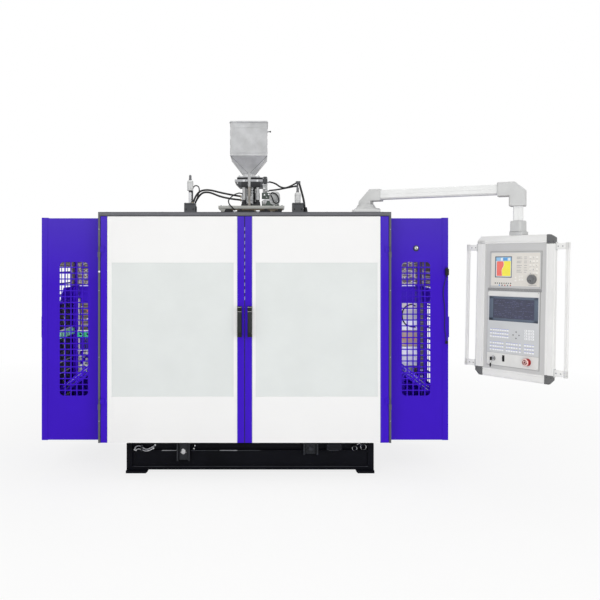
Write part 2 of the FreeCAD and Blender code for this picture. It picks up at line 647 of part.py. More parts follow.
def clamp(side_name, cx):
    p = CLAMP_Y
    s = CLAMP_STROKE
    inner = p - PART_GAP - s                 # front mould face, open
    front = inner - MOULD_T                  # front platen face
    rear = p + PART_GAP + s + MOULD_T        # rear platen face
    tail = TAIL_Y
    t = PLATEN_T
    plate = plate_on_shoes(cx, front - t, front, front - t - 30, front + 60)
    for q in (-1, 1):
        a, b = sorted((cx + q * 118, cx + q * 138))
        pts = [(front - t + 1, PLATEN_Z[0]), (front - t - 60, PLATEN_Z[0]), (front - t + 1, PLATEN_Z[0] + 330)]
        plate.append(prism(pts, "x", a, b))
    back = plate_on_shoes(cx, tail, tail + t, tail - 30, tail + t + 50)
    bars, nuts = [], []
    for q in (-1, 1):
        for z in TIE_Z:
            bars.append(ycyl(cx + q * TIE_X, z, front - t - 40, tail + t + 40, TIE_R))
            nuts.append(ycyl(cx + q * TIE_X, z, front - t - 30, front - t, TIE_R + 12))
            nuts.append(ycyl(cx + q * TIE_X, z, tail + t, tail + t + 30, TIE_R + 12))
    barrel = ycyl(cx, CYL_Z, tail + t, tail + t + BARREL_LEN, CYL_R)
    caps = [ycyl(cx, CYL_Z, tail + t, tail + t + 26, CYL_R + 14),
            ycyl(cx, CYL_Z, tail + t + BARREL_LEN - 22, tail + t + BARREL_LEN, CYL_R + 14)]
    ports = [zcyl(cx, y, CYL_Z + CYL_R - 8, CYL_Z + CYL_R + 26, 15)
             for y in (tail + t + 50, tail + t + BARREL_LEN - 50)]
    whole = welded(bars + [join(plate), join(back), join([barrel] + caps + ports)] + nuts)
    bore = ycyl(cx, CYL_Z, tail + t + 8, tail + t + BARREL_LEN - 14, CYL_BORE)
    neck = ycyl(cx, CYL_Z, tail - 1, tail + t + 9, ROD_R + RUN)
    save(side_name + "_front_platen", cut(whole, [bore, neck]))

    rp = plate_on_shoes(cx, rear, rear + t, rear - 30, rear + t + 30)
    rod_end = tail + t + BARREL_LEN - 34
    rp.append(ycyl(cx, CYL_Z, rear + t - 2, rod_end, ROD_R))
    rp.append(ycyl(cx, CYL_Z, rear + t, rear + t + 24, ROD_R + 22))
    rp.append(ycyl(cx, CYL_Z, rod_end - 24, rod_end, CYL_BORE - SLIDE))
    bores = [ycyl(cx + q * TIE_X, z, rear - 1, rear + t + 1, TIE_R + RUN) for q in (-1, 1) for z in TIE_Z]
    save(side_name + "_rear_platen", cut(join(rp), bores))

    cavity_parts = [zcyl(cx, 0, BOTTLE_Z[0], BOTTLE_Z[1], BOTTLE_R),
                    Part.makeCone(BOTTLE_R, NECK_R, BOTTLE_Z[2] - BOTTLE_Z[1], V(cx, 0, BOTTLE_Z[1])),
                    zcyl(cx, 0, BOTTLE_Z[2] - 1, MOULD_Z[1] + 1, NECK_R)]
    cavity = join(cavity_parts)
    pins = [(cx + q * 104, z) for q in (-1, 1) for z in (MOULD_Z[0] + 24, MOULD_Z[1] - 24)]
    z0, z1 = MOULD_Z
    front_half = box(cx - MOULD_HALF, cx + MOULD_HALF, front, inner, z0, z1)
    c = cavity.copy()
    c.translate(V(0, inner, 0))
    front_half = front_half.cut(c)
    front_half = front_half.multiFuse([ycyl(x, z, inner - 2, inner + 22, GUIDE_PIN_R) for x, z in pins])
    nip = [xcyl(inner - 70, z, cx + MOULD_HALF - 1, cx + MOULD_HALF + 13, 8) for z in (1000, 1120)]
    front_half = front_half.multiFuse(nip)
    save(side_name + "_front_mould", front_half)
    back = rear - MOULD_T
    rear_half = box(cx - MOULD_HALF, cx + MOULD_HALF, back, rear, z0, z1)
    c = cavity.copy()
    c.translate(V(0, back, 0))
    rear_half = rear_half.cut(c)
    rear_half = cut(rear_half, [ycyl(x, z, back - 1, back + 26, GUIDE_PIN_R + RUN) for x, z in pins])
    nip = [xcyl(back + 70, z, cx + MOULD_HALF - 1, cx + MOULD_HALF + 13, 8) for z in (1000, 1120)]
    save(side_name + "_rear_mould", rear_half.multiFuse(nip))


# ---------------------------------------------------------------- head, extruder
def die_head():
    y = CLAMP_Y
    z = HEAD_Z
    up = UPPER_Z[1]
    parts = [zcyl(0, y, z[0], z[1], DIE_R), zcyl(0, y, z[1], z[2] + 1, HEAD_R), zcyl(0, y, z[2], z[3], HEAD_R + 10)]
    parts.append(box(-75, 75, y, y + HEAD_R + 10, AXIS_Z - 75, AXIS_Z + 75))
    for a in (1430, 1530, 1790):
        parts.append(zcyl(0, y, a, a + 80, HEAD_R + 9))
    parts.append(zcyl(0, y, z[0] - 24, z[0], 42))
    plate = box(-SPINE_X[1], SPINE_X[1], y - 120, y + 120, up, up + 24)
    save("die_head", cut(welded([join(parts), plate]), [zcyl(0, y, z[0] - 30, z[0] + 60, 24)]))


def extruder_barrel():
    a = CLAMP_Y + HEAD_R + 10
    feed0, feed1 = HOPPER_Y - 110, HOPPER_Y + 100
    base = UPPER_Z[1] + DECK_PLATE_T
    parts = [ycyl(0, AXIS_Z, a, a + 34, 96), ycyl(0, AXIS_Z, a, feed0 + 5, BARREL_R)]
    span = (feed0 - 40 - (a + 70)) / 4
    for i in range(4):
        y = a + 70 + i * span
        parts.append(ycyl(0, AXIS_Z, y, y + span - 26, HEATER_R))
    body = welded([join(parts), box(-110, 110, feed0, feed1, base, FEED_TOP)])
    throat = zcyl(0, HOPPER_Y, AXIS_Z, FEED_TOP + 1, THROAT_R)
    bore = ycyl(0, AXIS_Z, a - 1, feed1 + 1, 28)
    save("extruder_barrel", cut(body, [throat, bore]))


def extruder_drive():
    base = UPPER_Z[1] + DECK_PLATE_T
    y0 = HOPPER_Y + 100
    end = SPINE_END
    gearbox = join([box(-165, 165, y0, end - 8, base, 2036), ycyl(0, AXIS_Z, y0 + 1, end + 2, 90)])
    cover = round_rect(-128, 128, 1378, 2010, end + 2, end + 74, 60)
    motor = [ycyl(0, 1490, y0 - 60, end - 12, 118), ycyl(0, 1490, end - 14, end + 2, 60)]
    for i in range(5):
        motor.append(ycyl(0, 1490, y0 - 20 + i * 50, y0 - 8 + i * 50, 126))
    saddle = box(-60, 60, y0 + 20, end - 60, 1560, UPPER_Z[1])
    save("extruder_drive", welded([gearbox, cover, join(motor), saddle]))


def hopper():
    z0, z1, z2 = HOPPER_Z
    y = HOPPER_Y
    w = HOPPER_WALL
    h, f = HOPPER_HALF, HOPPER_FOOT
    outer = join([box(-h, h, y - h, y + h, z1, z2), frustum(f, z0, h, z1, y),
                  box(-h - 8, h + 8, y - h - 8, y + h + 8, z2 - 14, z2 - 10),
                  box(-110, 110, y - 95, y + 95, z0 - 35, z0 - 23), box(-f, f, y - f, y + f, z0 - 35, z0 + 1)])
    inner = join([box(-h + w, h - w, y - h + w, y + h - w, z1, z2 + 1), frustum(f - w, z0, h - w, z1, y),
                  box(-f + w, f - w, y - f + w, y + f - w, z0 - 36, z0 + 1)])
    pin = xcyl(y - 60, z2 - 85, h - 1, h + 38, 5)
    save("hopper", outer.cut(inner).fuse(pin))


def hopper_neck():
    x0, x1 = NECK_X
    y0, y1 = NECK_Y
    z = NECK_BLOCK_Z
    lower = box(x0, x1, y0, y1, z[0], z[1])
    lower = lower.cut(prism([(x0 - 1, z[0] - 1), (x0 + 42, z[0] - 1), (x0 - 1, z[0] + 42)], "y", y0 - 1, y1 + 1))
    tube = zcyl(0, HOPPER_Y, FEED_TOP, z[0], THROAT_R + 18)
    flange = zcyl(0, HOPPER_Y, FEED_TOP, FEED_TOP + 20, THROAT_R + 50)
    parts = [lower, box(x0, x1, y0, y1, z[2], z[3]), box(x0, x1, y1 - 16, y1, z[1], z[2]), tube, flange]
    throat = zcyl(0, HOPPER_Y, FEED_TOP - 1, z[3] + 1, THROAT_R)
    save("hopper_neck", cut(welded(parts), [throat]))
    g0, g1 = z[1] + PART_GAP * 2, z[2] - PART_GAP * 2
    blade = box(x0 - 6, x1 + 8, y0 + 1, y1 - 17, g0, g1)
    tab = box(x1 + 8, x1 + 30, y0 + 60, y0 + 110, g0, g1)
    hole = zcyl(118, HOPPER_Y, g0 - 1, g1 + 1, THROAT_R)
    save("hopper_gate", join([blade, tab]).cut(hole))


# ---------------------------------------------------------------- roof gear
def roof_gear():
    x0, x1 = STAND_X
    y0, y1 = STAND_Y
    z0, z1, z2 = STAND_Z
    parts = [box(x0, x1, y0, y1, z1, z2), box(x0 + 16, x1 - 16, y0 + 12, y1 - 12, z0, z1)]
    for x in (-95, 95):
        for y in (CLAMP_Y - 70, CLAMP_Y + 70):
            parts.append(zcyl(x, y, HEAD_Z[3], z0 + 1, 18))
    save("parison_stand", join(parts))

    cx0, cx1 = -45.0, 117.0
    cy0, cy1 = CLAMP_Y - 70, CLAMP_Y + 70
    cap_lo = (z2, z2 + 16)
    cap_hi = (2243.0, 2290.0)
    parts = [box(cx0, cx1, cy0, cy1, cap_lo[0], cap_lo[1]), box(cx0, cx1, cy0, cy1, cap_hi[0], cap_hi[1])]
    mid = (cx0 + cx1) / 2
    parts.append(zcyl(mid, CLAMP_Y, cap_lo[0], cap_hi[1], 40))
    for x in (cx0 + 24, cx1 - 24):
        for y in (cy0 + 22, cy1 - 22):
            parts.append(zcyl(x, y, cap_lo[0], cap_hi[1] + 16, 15))
            parts.append(zcyl(x, y, cap_lo[1], cap_lo[1] + 22, 21))
    parts.append(zcyl(23, cy0 - 9, z2, 2362, 12))
    parts.append(box(6, 52, cy0 - 16, cy0 + 4, 2104, 2166))
    for z in (2167, 2137):
        parts.append(xcyl(cy0 + 22, z, cx0 - 4, cx0 + 12, 12))
    save("parison_cylinder", join(parts))

    valve = [box(128, 204, CLAMP_Y - 42, CLAMP_Y + 42, z2, 2200), box(136, 176, CLAMP_Y - 34, CLAMP_Y + 34, 2199, 2336)]
    valve.append(round_rect(192, 283, 2098, 2209, CLAMP_Y - 46, CLAMP_Y + 46, 14))
    valve.append(xcyl(CLAMP_Y - 14, 2294, 170, 190, 12))
    valve.append(xcyl(CLAMP_Y + 14, 2222, 170, 190, 11))
    valve.append(box(200, 276, CLAMP_Y - 30, CLAMP_Y + 30, z2, 2100))
    save("servo_valve", join(valve))


def blow_units():
    bodies = []
    h = BLOCK_HALF
    up = UPPER_Z[1]
    y = CLAMP_Y
    for i, x in enumerate(STATION):
        parts = [box(x - h, x + h, y - h, y + h, up, BLOCK_TOP), box(x - 90, x + 90, y - 90, y + 90, up, up + 20)]
        parts.append(zcyl(x, y, up - 100, up + 1, 40))
        top = (2228.0, 2303.0)[i]
        rx = x + (14.0, 0.0)[i]
        parts.append(zcyl(rx, y + 38, BLOCK_TOP - 2, top, 7))
        if i == 1:
            parts.append(box(x + h - 1, x + h + 34, y - 14, y + 18, 1956, 1988))
            parts.append(box(x - 13, x + 25, y + 28, y + 50, 2282, 2305))
            parts.append(xcyl(y + 38, 2262, x - 24, x, 9))
        body = join(parts)
        body = cut(body, [zcyl(x, y, up - 110, BLOCK_TOP + 1, PIN_R + RUN)])
        bodies.append(body)
    save("blow_cylinders", Part.makeCompound(bodies))
    for name, x, drop in (("left_blow_pin", STATION[0], 0.0), ("right_blow_pin", STATION[1], PIN_STROKE)):
        n, r = NOZZLE_Z, NOZZLE_R
        s = SLEEVE_Z
        parts = [zcyl(x, y, n[0], n[1] + 1, r[0]), zcyl(x, y, n[1], n[2] + 1, r[1]), zcyl(x, y, n[2], n[3], r[2])]
        parts.append(zcyl(x, y, n[2], s[0] + 1, PIN_R))
        parts.append(zcyl(x, y, s[0], s[1], SLEEVE_R))
        parts.append(zcyl(x, y, s[1] - 1, s[2], 11))
        pin = join(parts)
        pin.translate(V(0, 0, -drop))
        save(name, pin)


# ---------------------------------------------------------------- rear units
def rear_units():
    spine = UPPER_Z[0]
    y0, y1 = 850.0, 880.0
    foot = 240.0
    parts = []
    for side in (-1, 1):
        a, b = sorted((side * 330.0, side * PORTAL_X))
        frame = box(a, b, y0, y1, foot, 1950)
        frame = frame.cut(box(a + 50, b - 50, y0 - 1, y1 + 1, 300, 1230))
        frame = frame.cut(box(a + 50, b - 50, y0 - 1, y1 + 1, 1280, 1900))
        bars = []
        for i in range(1, 7):
            x = side * (380.0 + i * 670.0 / 7)
            bars.append(box(x - 5, x + 5, y0 + 10, y0 + 20, 290, 1910))
        parts.append(join([frame] + bars))
        for c in (a, b - 50):
            parts.append(box(c, c + 50, y0, y1, 0, foot))
    parts.append(box(-330, 330, y0, y1, spine - 60, spine))
    for side in (-1, 1):
        a, b = sorted((side * (PORTAL_X - 36), side * PORTAL_X))
        rails = [box(a, b, WING_REAR, y0, z, z + 40) for z in (300, 1240, 1900)]
        for i in range(1, 8):
            y = WING_REAR + i * (y0 - WING_REAR) / 8
            c, d = sorted((side * (PORTAL_X - 23), side * (PORTAL_X - 13)))
            rails.append(box(c, d, y - 5, y + 5, 330, 1910))
        parts.append(join(rails))
    save("rear_guard", welded(parts))

    cx0, cx1 = -1000.0, -360.0
    c0, c1 = 880.0, 1230.0
    shell = box(cx0, cx1, c0, c1, 100, 1900)
    shell = shell.cut(box(cx0 + 20, cx1 - 20, c0 + 20, c1 + 1, 120, 1880))
    plinth = box(cx0 + 10, cx1 - 10, c0, c1 - 20, 0, 101)
    mount_plate = box(cx0 + 60, cx1 - 60, c0 + 18, c0 + 26, 200, 1820)
    gear = []
    for k in range(5):
        gear.append(box(cx0 + 100, cx1 - 100, c0 + 24, c0 + 110, 300 + k * 300, 430 + k * 300))
    hx, hy = cx0 - HINGE_OFF, c1 + 12
    knuckles = []
    for z in HINGE_Z:
        knuckles.append(zcyl(hx, hy, z - HINGE_LEN, z, HINGE_R))
        knuckles.append(zcyl(hx, hy, z - 2, z + HINGE_LEN - 2, HINGE_PIN_R))
        knuckles.append(box(hx, cx0 + 1, c1 - 30, c1 - 1, z - HINGE_LEN, z))
        knuckles.append(box(hx, cx0 - 0.5, c1 - 2, hy, z - HINGE_LEN, z))
    save("electrical_cabinet", welded([join([shell] + knuckles), plinth, mount_plate] + gear))
    leaf = box(cx0, cx1, c1 + 1, c1 + 23, 104, 1896)
    leaf = leaf.cut(box(cx0 + 20, cx1 - 20, c1, c1 + 20, 124, 1876))
    extra = [box(cx1 - 60, cx1 - 36, c1 + 22, c1 + 46, 960, 1100)]
    for z in HINGE_Z:
        a = z + PART_GAP
        extra.append(zcyl(hx, hy, a, a + HINGE_LEN, HINGE_R))
        extra.append(box(hx, cx0 + 4, hy - 4, hy + 6, a, a + HINGE_LEN))
    leaf = leaf.multiFuse(extra)
    leaf = cut(leaf, [zcyl(hx, hy, z - 1, z + HINGE_LEN + 2, HINGE_PIN_R + RUN) for z in HINGE_Z])
    save("cabinet_door", leaf)

    tx0, tx1 = 350.0, 1010.0
    t0, t1 = 880.0, 1290.0
    tank = join([box(tx0, tx1, t0, t1, 80, 560), box(tx0 - 6, tx1 + 6, t0, t1 + 6, 560, 572)])
    motor = [xcyl(1085, 722, tx0 + 60, tx0 + 400, 120), xcyl(1085, 722, tx0 + 398, tx0 + 470, 70)]
    motor.append(xcyl(1085, 722, tx0 + 468, tx0 + 560, 85))
    for i in range(7):
        motor.append(xcyl(1085, 722, tx0 + 96 + i * 38, tx0 + 106 + i * 38, 127))
    parts = [tank, join(motor), box(tx0 + 90, tx0 + 370, 1005, 1165, 572, 640)]
    parts.append(box(tx0 + 484, tx0 + 548, 1030, 1140, 572, 700))
    parts.append(zcyl(tx1 - 60, t1 - 70, 572, 640, 36))
    for x in (tx0 + 30, tx1 - 90):
        parts.append(box(x, x + 60, t0 + 20, t1 - 20, 0, 80))
    save("hydraulic_unit", welded(parts))


# ---------------------------------------------------------------- control arm
def control_arm():
    ax, ay = ARM_AT
    top = PORTAL_TOP
    parts = [box(-100, 100, -80, 80, top, top + 24), zcyl(0, 0, top + 23, top + 64, 65)]
    stem = join(parts).cut(zcyl(0, 0, top + 20, top + 70, 25 + RUN))
    save("arm_pedestal", placed(stem, ARM_AT, 0))

    low = top + 64 + PART_GAP * 2
    elbow = prism([(-46, low), (46, low), (46, ARM_Z[0] - 8), (122, ARM_Z[0] - 8), (122, ARM_Z[1] + 8),
                   (40, ARM_Z[1] + 8), (-46, low + 22)], "y", -46, 46)
    x1 = ARM_LEN - 135
    tube = box(118, x1 + 4, -ARM_HALF, ARM_HALF, ARM_Z[0], ARM_Z[1])
    z0, z1 = 2005.0, ARM_Z[1] + 14
    far = prism([(x1, ARM_Z[0] - 10), (ARM_LEN - 54, ARM_Z[0] - 10), (ARM_LEN - 54, z0), (ARM_LEN + 50, z0),
                 (ARM_LEN + 50, z1 - 58), (ARM_LEN - 20, z1), (x1, z1)], "y", -47, 47)
    drop = box(ARM_LEN - 31, ARM_LEN + 31, -31, 31, 1902 + PART_GAP * 2, z0 + 2)
    spigots = [zcyl(0, 0, top + 28, low + 2, 25), zcyl(ARM_LEN, 0, 1850, 1904, 22),
               zcyl(ARM_LEN, 0, 1836, 1851, 30)]
    save("control_arm", placed(join([elbow, tube, far, drop] + spigots), ARM_AT, ARM_YAW))


def tilted(shape):
    """Put a piece of the panel at the end of the arm, its face looking a little up."""
    s = shape.copy()
    s.rotate(V(0, 0, (PANEL_Z[0] + PANEL_Z[1]) / 2), V(1, 0, 0), -PANEL_TILT)
    return placed(s, PANEL_AT, PANEL_YAW)


def panel():
    d = PANEL_DEPTH / 2
    w = PANEL_HALF
    z0, z1 = PANEL_Z
    f = FACE_HALF
    f0, f1 = FACE_Z
    c = PANEL_CORNER
    back = -d + PANEL_FRAME
    rim = prism([(-w + c, z0), (w - c, z0), (w, z0 + c), (w, z1 - c), (w - c, z1), (-w + c, z1), (-w, z1 - c),
                 (-w, z0 + c)], "y", -d, back)
    chest = box(-f - 8, f + 8, back - 1, d - 10, f0 - 8, f1 + 8)
    shell = rim.fuse(chest).cut(box(-f, f, -d - 1, d - 14, f0, f1))
    shell = shell.cut(box(-f - 22, f + 22, -d - 1, -d + 4, f0 - 12, f0))
    neck = join([box(-50, 50, -36, 44, f1 + 4, z1 + 24), box(-42, 42, -42, 42, z1 + 23, 1902)])
    body = join([tilted(shell), placed(neck, PANEL_AT, PANEL_YAW)])
    ax, ay = PANEL_AT
    body = cut(body, [zcyl(ax, ay, 1832, 1852, 30.5), zcyl(ax, ay, 1845, 1903, 22 + RUN)])
    save("panel_housing", body)

    face = [box(-f, f, -d + 6, -d + 14, f0, f1)]
    for a, b, c, e in MODULES:
        face.append(box(a, b, -d, -d + 7, c, e))
    plate = join(face)
    pockets = [box(a, b, -d - 1, -d + 4, c, e) for a, b, c, e in SCREENS]
    kx, kz = KNOB_AT
    sx, sz = STOP_AT
    yx, yz = KEY_AT
    face2 = plate.multiFuse([ycyl(sx, sz, -d - 8, -d + 1, 22), ycyl(yx, yz, -d - 6, -d + 1, 17)])
    face2 = cut(face2, pockets + [ycyl(kx, kz, -d - 1, -d + 20, 6 + RUN), ycyl(sx, sz, -d - 9, -d + 20, 9 + RUN),
                                  ycyl(yx, yz, -d - 7, -d + 20, 10 + RUN)])
    save("panel_face", tilted(face2))
    glass = [box(a, b, -d + 2, -d + 4, c, e) for a, b, c, e in SCREENS]
    save("panel_screens", tilted(Part.makeCompound(glass)))

    knob = join([ycyl(kx, kz, -d - 26, -d - 0.4, 32), ycyl(kx, kz, -d - 2, -d + 16, 6)])
    dimple = ycyl(kx + 16, kz + 10, -d - 27, -d - 22, 8)
    save("panel_knob", tilted(knob.cut(dimple)))
    stop = join([ycyl(sx, sz, -d - 38, -d - 20, 26), ycyl(sx, sz, -d - 21, -d + 15, 9)])
    save("emergency_stop", tilted(stop))
    key = join([ycyl(yx, yz, -d - 9, -d + 16, 10), box(yx - 1.5, yx + 1.5, -d - 22, -d - 8, yz - 9, yz + 9),
                box(yx - 1.5, yx + 1.5, -d - 44, -d - 21, yz - 14, yz + 14)])
    save("key_switch", tilted(key))

    grips = []
    h0, h1 = PANEL_HANDLE_Z
    o = HANDLE_OUTER
    b, t = HANDLE_BAR
    y0 = -d + 3
    for side in (-1, 1):
        p, q = sorted((side * (o - b), side * o))
        r, s = sorted((side * (w + 1), side * (o - 1)))
        bar = [box(p, q, y0, y0 + t, h0, h1)]
        for a in (h0, h1 - HANDLE_FOOT):
            bar.append(box(r, s, y0, y0 + t, a, a + HANDLE_FOOT))
        t0, t1 = sorted((side * w, side * (w + 8)))
        bar.append(box(t0, t1, -d + 1, back - 1, h0 - 4, h1 + 4))
        grips.append(join(bar))
    save("panel_handles", tilted(Part.makeCompound(grips)))


def hoses():
    y = CLAMP_Y
    top = BLOCK_TOP - 4
    hose("left_upper_hose", [(-454, y - 30, top), (-428, y - 36, 2196), (-340, y - 42, 2232),
                             (-180, y - 48, 2188), (-45, y - 48, 2167)], HOSE_D)
    hose("left_lower_hose", [(-442, y + 6, top), (-406, y - 14, 2186), (-330, y - 30, 2214),
                             (-190, y - 48, 2150), (-45, y - 48, 2137)], HOSE_D)
    hose("left_loop_hose", [(-466, y + 38, 2224), (-460, y + 38, 2259), (-429, y + 36, 2271),
                            (-404, y + 32, 2250), (-409, y + 28, 2190), (-446, y + 24, top)], LOOP_D)
    hose("right_upper_hose", [(186, y - 14, 2294), (236, y - 16, 2287), (290, y - 20, 2243),
                              (352, y - 8, 2243), (424, y + 40, 2292)], VALVE_HOSE_D)
    hose("right_lower_hose", [(186, y + 14, 2222), (262, y + 16, 2230), (340, y + 32, 2248),
                              (414, y + 40, 2262)], VALVE_HOSE_D)
    hose("right_drop_hose", [(449, y + 38, 2284), (474, y + 36, 2196), (494, y + 24, 2106),
                             (498, y + 2, 1986)], DROP_D)
    yc = WING_FACE - 9
    hose("switch_cable", [(1534, yc - 5, SWITCH_Z - 32), (1514, yc - 2, 1440), (1508, yc, 1366), (1520, yc, 1292),
                          (1524, yc, 1212), (1519, yc, 1132), (1526, yc, 1062), (1534, yc, 1008)], CABLE_D)


base_frame()
machine_frame()
portal_frame()
door(-1)
door(1)
wing_covers()
wing_frames()
side_door(-1)
side_door(1)
door_switch()
carriage_rails()
carriage("left_carriage", STATION[0])
carriage("right_carriage", STATION[1])
clamp("left", STATION[0])
clamp("right", STATION[1])
die_head()
extruder_barrel()
extruder_drive()
hopper()
hopper_neck()
roof_gear()
blow_units()
rear_units()
control_arm()
panel()
hoses()
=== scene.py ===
import bpy
import bmesh
import json
import random
from math import cos, hypot, pi, radians, sin, sqrt
from mathutils import Matrix, Vector

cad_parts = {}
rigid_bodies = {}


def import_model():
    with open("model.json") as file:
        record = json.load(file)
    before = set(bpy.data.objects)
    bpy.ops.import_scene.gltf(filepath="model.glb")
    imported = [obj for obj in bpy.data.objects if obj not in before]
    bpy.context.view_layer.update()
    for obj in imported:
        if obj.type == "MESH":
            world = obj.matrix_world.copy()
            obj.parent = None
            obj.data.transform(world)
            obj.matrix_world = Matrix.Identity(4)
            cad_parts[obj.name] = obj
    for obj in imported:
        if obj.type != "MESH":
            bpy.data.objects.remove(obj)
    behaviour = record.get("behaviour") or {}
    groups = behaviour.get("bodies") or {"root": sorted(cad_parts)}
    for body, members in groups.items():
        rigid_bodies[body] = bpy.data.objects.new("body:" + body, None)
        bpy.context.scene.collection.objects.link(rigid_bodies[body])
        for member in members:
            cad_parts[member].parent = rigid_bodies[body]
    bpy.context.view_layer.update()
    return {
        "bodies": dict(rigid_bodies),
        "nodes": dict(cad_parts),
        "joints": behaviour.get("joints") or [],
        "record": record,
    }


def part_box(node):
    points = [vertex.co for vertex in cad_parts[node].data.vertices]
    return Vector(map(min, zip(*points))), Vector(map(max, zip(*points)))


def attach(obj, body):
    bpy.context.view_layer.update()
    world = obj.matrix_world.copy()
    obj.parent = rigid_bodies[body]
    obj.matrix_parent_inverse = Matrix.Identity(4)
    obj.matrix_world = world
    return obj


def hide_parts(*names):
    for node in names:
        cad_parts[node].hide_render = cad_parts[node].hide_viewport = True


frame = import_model()
nodes = frame["nodes"]
random.seed(11)

# ---------------------------------------------------------------- camera, read from the photo's perspective
cam_data = bpy.data.cameras.new("camera")
cam_data.lens = 42
cam_data.sensor_width = 36
cam_data.shift_x = 0.0633
cam_data.shift_y = -0.0633
cam_data.clip_end = 200
camera = bpy.data.objects.new("camera", cam_data)
camera.location = (0.130, -6.150, 1.614)
camera.rotation_euler = (radians(90), 0, 0)
bpy.context.scene.collection.objects.link(camera)
bpy.context.scene.camera = camera


# ---------------------------------------------------------------- materials
def rgb(r, g, b):
    """Linear colour of an sRGB one."""
    return tuple(v / 12.92 if v <= 0.04045 else ((v + 0.055) / 1.055) ** 2.4 for v in (r / 255, g / 255, b / 255))


def scaled(c, k):
    return tuple(min(1.0, v * k) for v in c) + (1.0,)


class Tree:
    """Shader nodes of a material or of the world."""

    def __init__(self, owner):
        owner.use_nodes = True
        self.tree = owner.node_tree

    def node(self, kind, **values):
        n = self.tree.nodes.new(kind)
        for key, v in values.items():
            if key in n.inputs:
                n.inputs[key].default_value = v
            else:
                setattr(n, key, v)
        return n

    def link(self, a, b):
        self.tree.links.new(a, b)

    def feed(self, socket, v):
        """Sets a constant on the socket or links another node's output to it."""
        if isinstance(v, (int, float, tuple)):
            socket.default_value = v
        else:
            self.link(v, socket)

    def ramp(self, value, *limits):
        n = self.node("ShaderNodeMapRange")
        for socket, v in zip(("From Min", "From Max", "To Min", "To Max"), limits):
            n.inputs[socket].default_value = v
        self.link(value, n.inputs["Value"])
        return n.outputs["Result"]

    def mix(self, fac, a, b):
        n = self.node("ShaderNodeMix", data_type="RGBA")
        self.link(fac, n.inputs["Factor"])
        self.feed(n.inputs[6], a)
        self.feed(n.inputs[7], b)
        return n.outputs[2]

    def math(self, op, a, b):
        n = self.node("ShaderNodeMath", operation=op)
        self.feed(n.inputs[0], a)
        self.feed(n.inputs[1], b)
        return n.outputs[0]


class Graph(Tree):
    """Shader nodes of one material, with its patterns laid out in the object's own space."""

    def __init__(self, name):
        self.mat = bpy.data.materials.new(name)
        super().__init__(self.mat)
        self.shader = self.tree.nodes["Principled BSDF"]
        self.out = self.tree.nodes["Material Output"]
        self.space = self.node("ShaderNodeTexCoord").outputs["Object"]

    def noise(self, scale, detail=3.0, rough=0.55, stretch=(1, 1, 1)):
        m = self.node("ShaderNodeMapping", Scale=stretch)
        self.link(self.space, m.inputs["Vector"])
        n = self.node("ShaderNodeTexNoise", Scale=scale, Detail=detail, Roughness=rough)
        self.link(m.outputs["Vector"], n.inputs["Vector"])
        return n.outputs["Fac"]

    def axis(self, which):
        n = self.node("ShaderNodeSeparateXYZ")
        self.link(self.space, n.inputs[0])
        return n.outputs[which]


COAT_ROUGHNESS = 0.12
GRAIN_DEPTH = 0.0004


def surface(name, color, rough, vary, size, grain, bump, metal=0.0, stretch=(1, 1, 1), speck=0.0,
            speck_color=(0.02, 0.02, 0.02), coat=0.0, spec=0.5, rim=0.0, spread=0.07, tint=None, beyond=None):
    """Paint, metal or plastic: cloudy colour, fine grain in bump and gloss, a few specks and rubbed rims."""
    g = Graph(name)
    col = g.mix(g.ramp(g.noise(1.0 / size, 4.0), 0.35, 0.65, 0.0, 1.0), scaled(color, 1 - vary),
                scaled(color, 1 + vary))
    # tint blends in another colour with height between z0 and z1; on the violet guards it is painted light on their
    # upper part.
    if tint:
        lift, z0, z1 = tint
        col = g.mix(g.ramp(g.axis(2), z0, z1, 0.0, 1.0), col, lift + (1.0,))
    if beyond:
        limit, other = beyond
        out = g.math("GREATER_THAN", g.math("ABSOLUTE", g.axis(0), 0.0), limit)
        col = g.mix(out, col, other + (1.0,))
    if speck:
        col = g.mix(g.ramp(g.noise(90.0, 2.0, 0.6), 0.70, 0.76, 0.0, speck), col, speck_color + (1.0,))
    if rim:
        soft = g.node("ShaderNodeBevel", samples=4, Radius=rim)
        geo = g.node("ShaderNodeNewGeometry")
        dot = g.node("ShaderNodeVectorMath", operation="DOT_PRODUCT")
        g.link(soft.outputs[0], dot.inputs[0])
        g.link(geo.outputs["Normal"], dot.inputs[1])
        worn = g.ramp(dot.outputs["Value"], 0.80, 0.99, 1.0, 0.0)
        patch = g.ramp(g.noise(14.0, 5.0, 0.7), 0.45, 0.62, 0.0, 0.7)
        col = g.mix(g.math("MULTIPLY", worn, patch), col, scaled(color, 1.5))
    g.link(col, g.shader.inputs["Base Color"])
    fine = g.noise(grain, 2.0, 0.5, stretch)
    g.link(g.ramp(fine, 0.3, 0.7, max(0.02, rough - spread), min(1.0, rough + spread)), g.shader.inputs["Roughness"])
    g.shader.inputs["Metallic"].default_value = metal
    g.shader.inputs["Specular IOR Level"].default_value = spec
    if coat:
        g.shader.inputs["Coat Weight"].default_value = coat
        g.shader.inputs["Coat Roughness"].default_value = COAT_ROUGHNESS
    b = g.node("ShaderNodeBump", Strength=bump, Distance=GRAIN_DEPTH)
    g.link(fine, b.inputs["Height"])
    if rim:
        g.link(soft.outputs[0], b.inputs["Normal"])
    g.link(b.outputs["Normal"], g.shader.inputs["Normal"])
    return g.mat


VIOLET = (58, 12, 192)
SPECKS = rgb(48, 48, 52)
# Violet guards: low specular, rubbed rims, and a lighter, greyer violet blended in from 1.45 m to 2.1 m up, which is
# painted light on their upper part.
DULL_RUBBED_PAINTED_TOP_LIGHT = {"spec": 0.16, "rim": 0.002, "tint": (rgb(76, 52, 186), 1.45, 2.1)}
ALONG_Z, ACROSS_X = (1, 1, 0.05), (0.05, 1, 1)

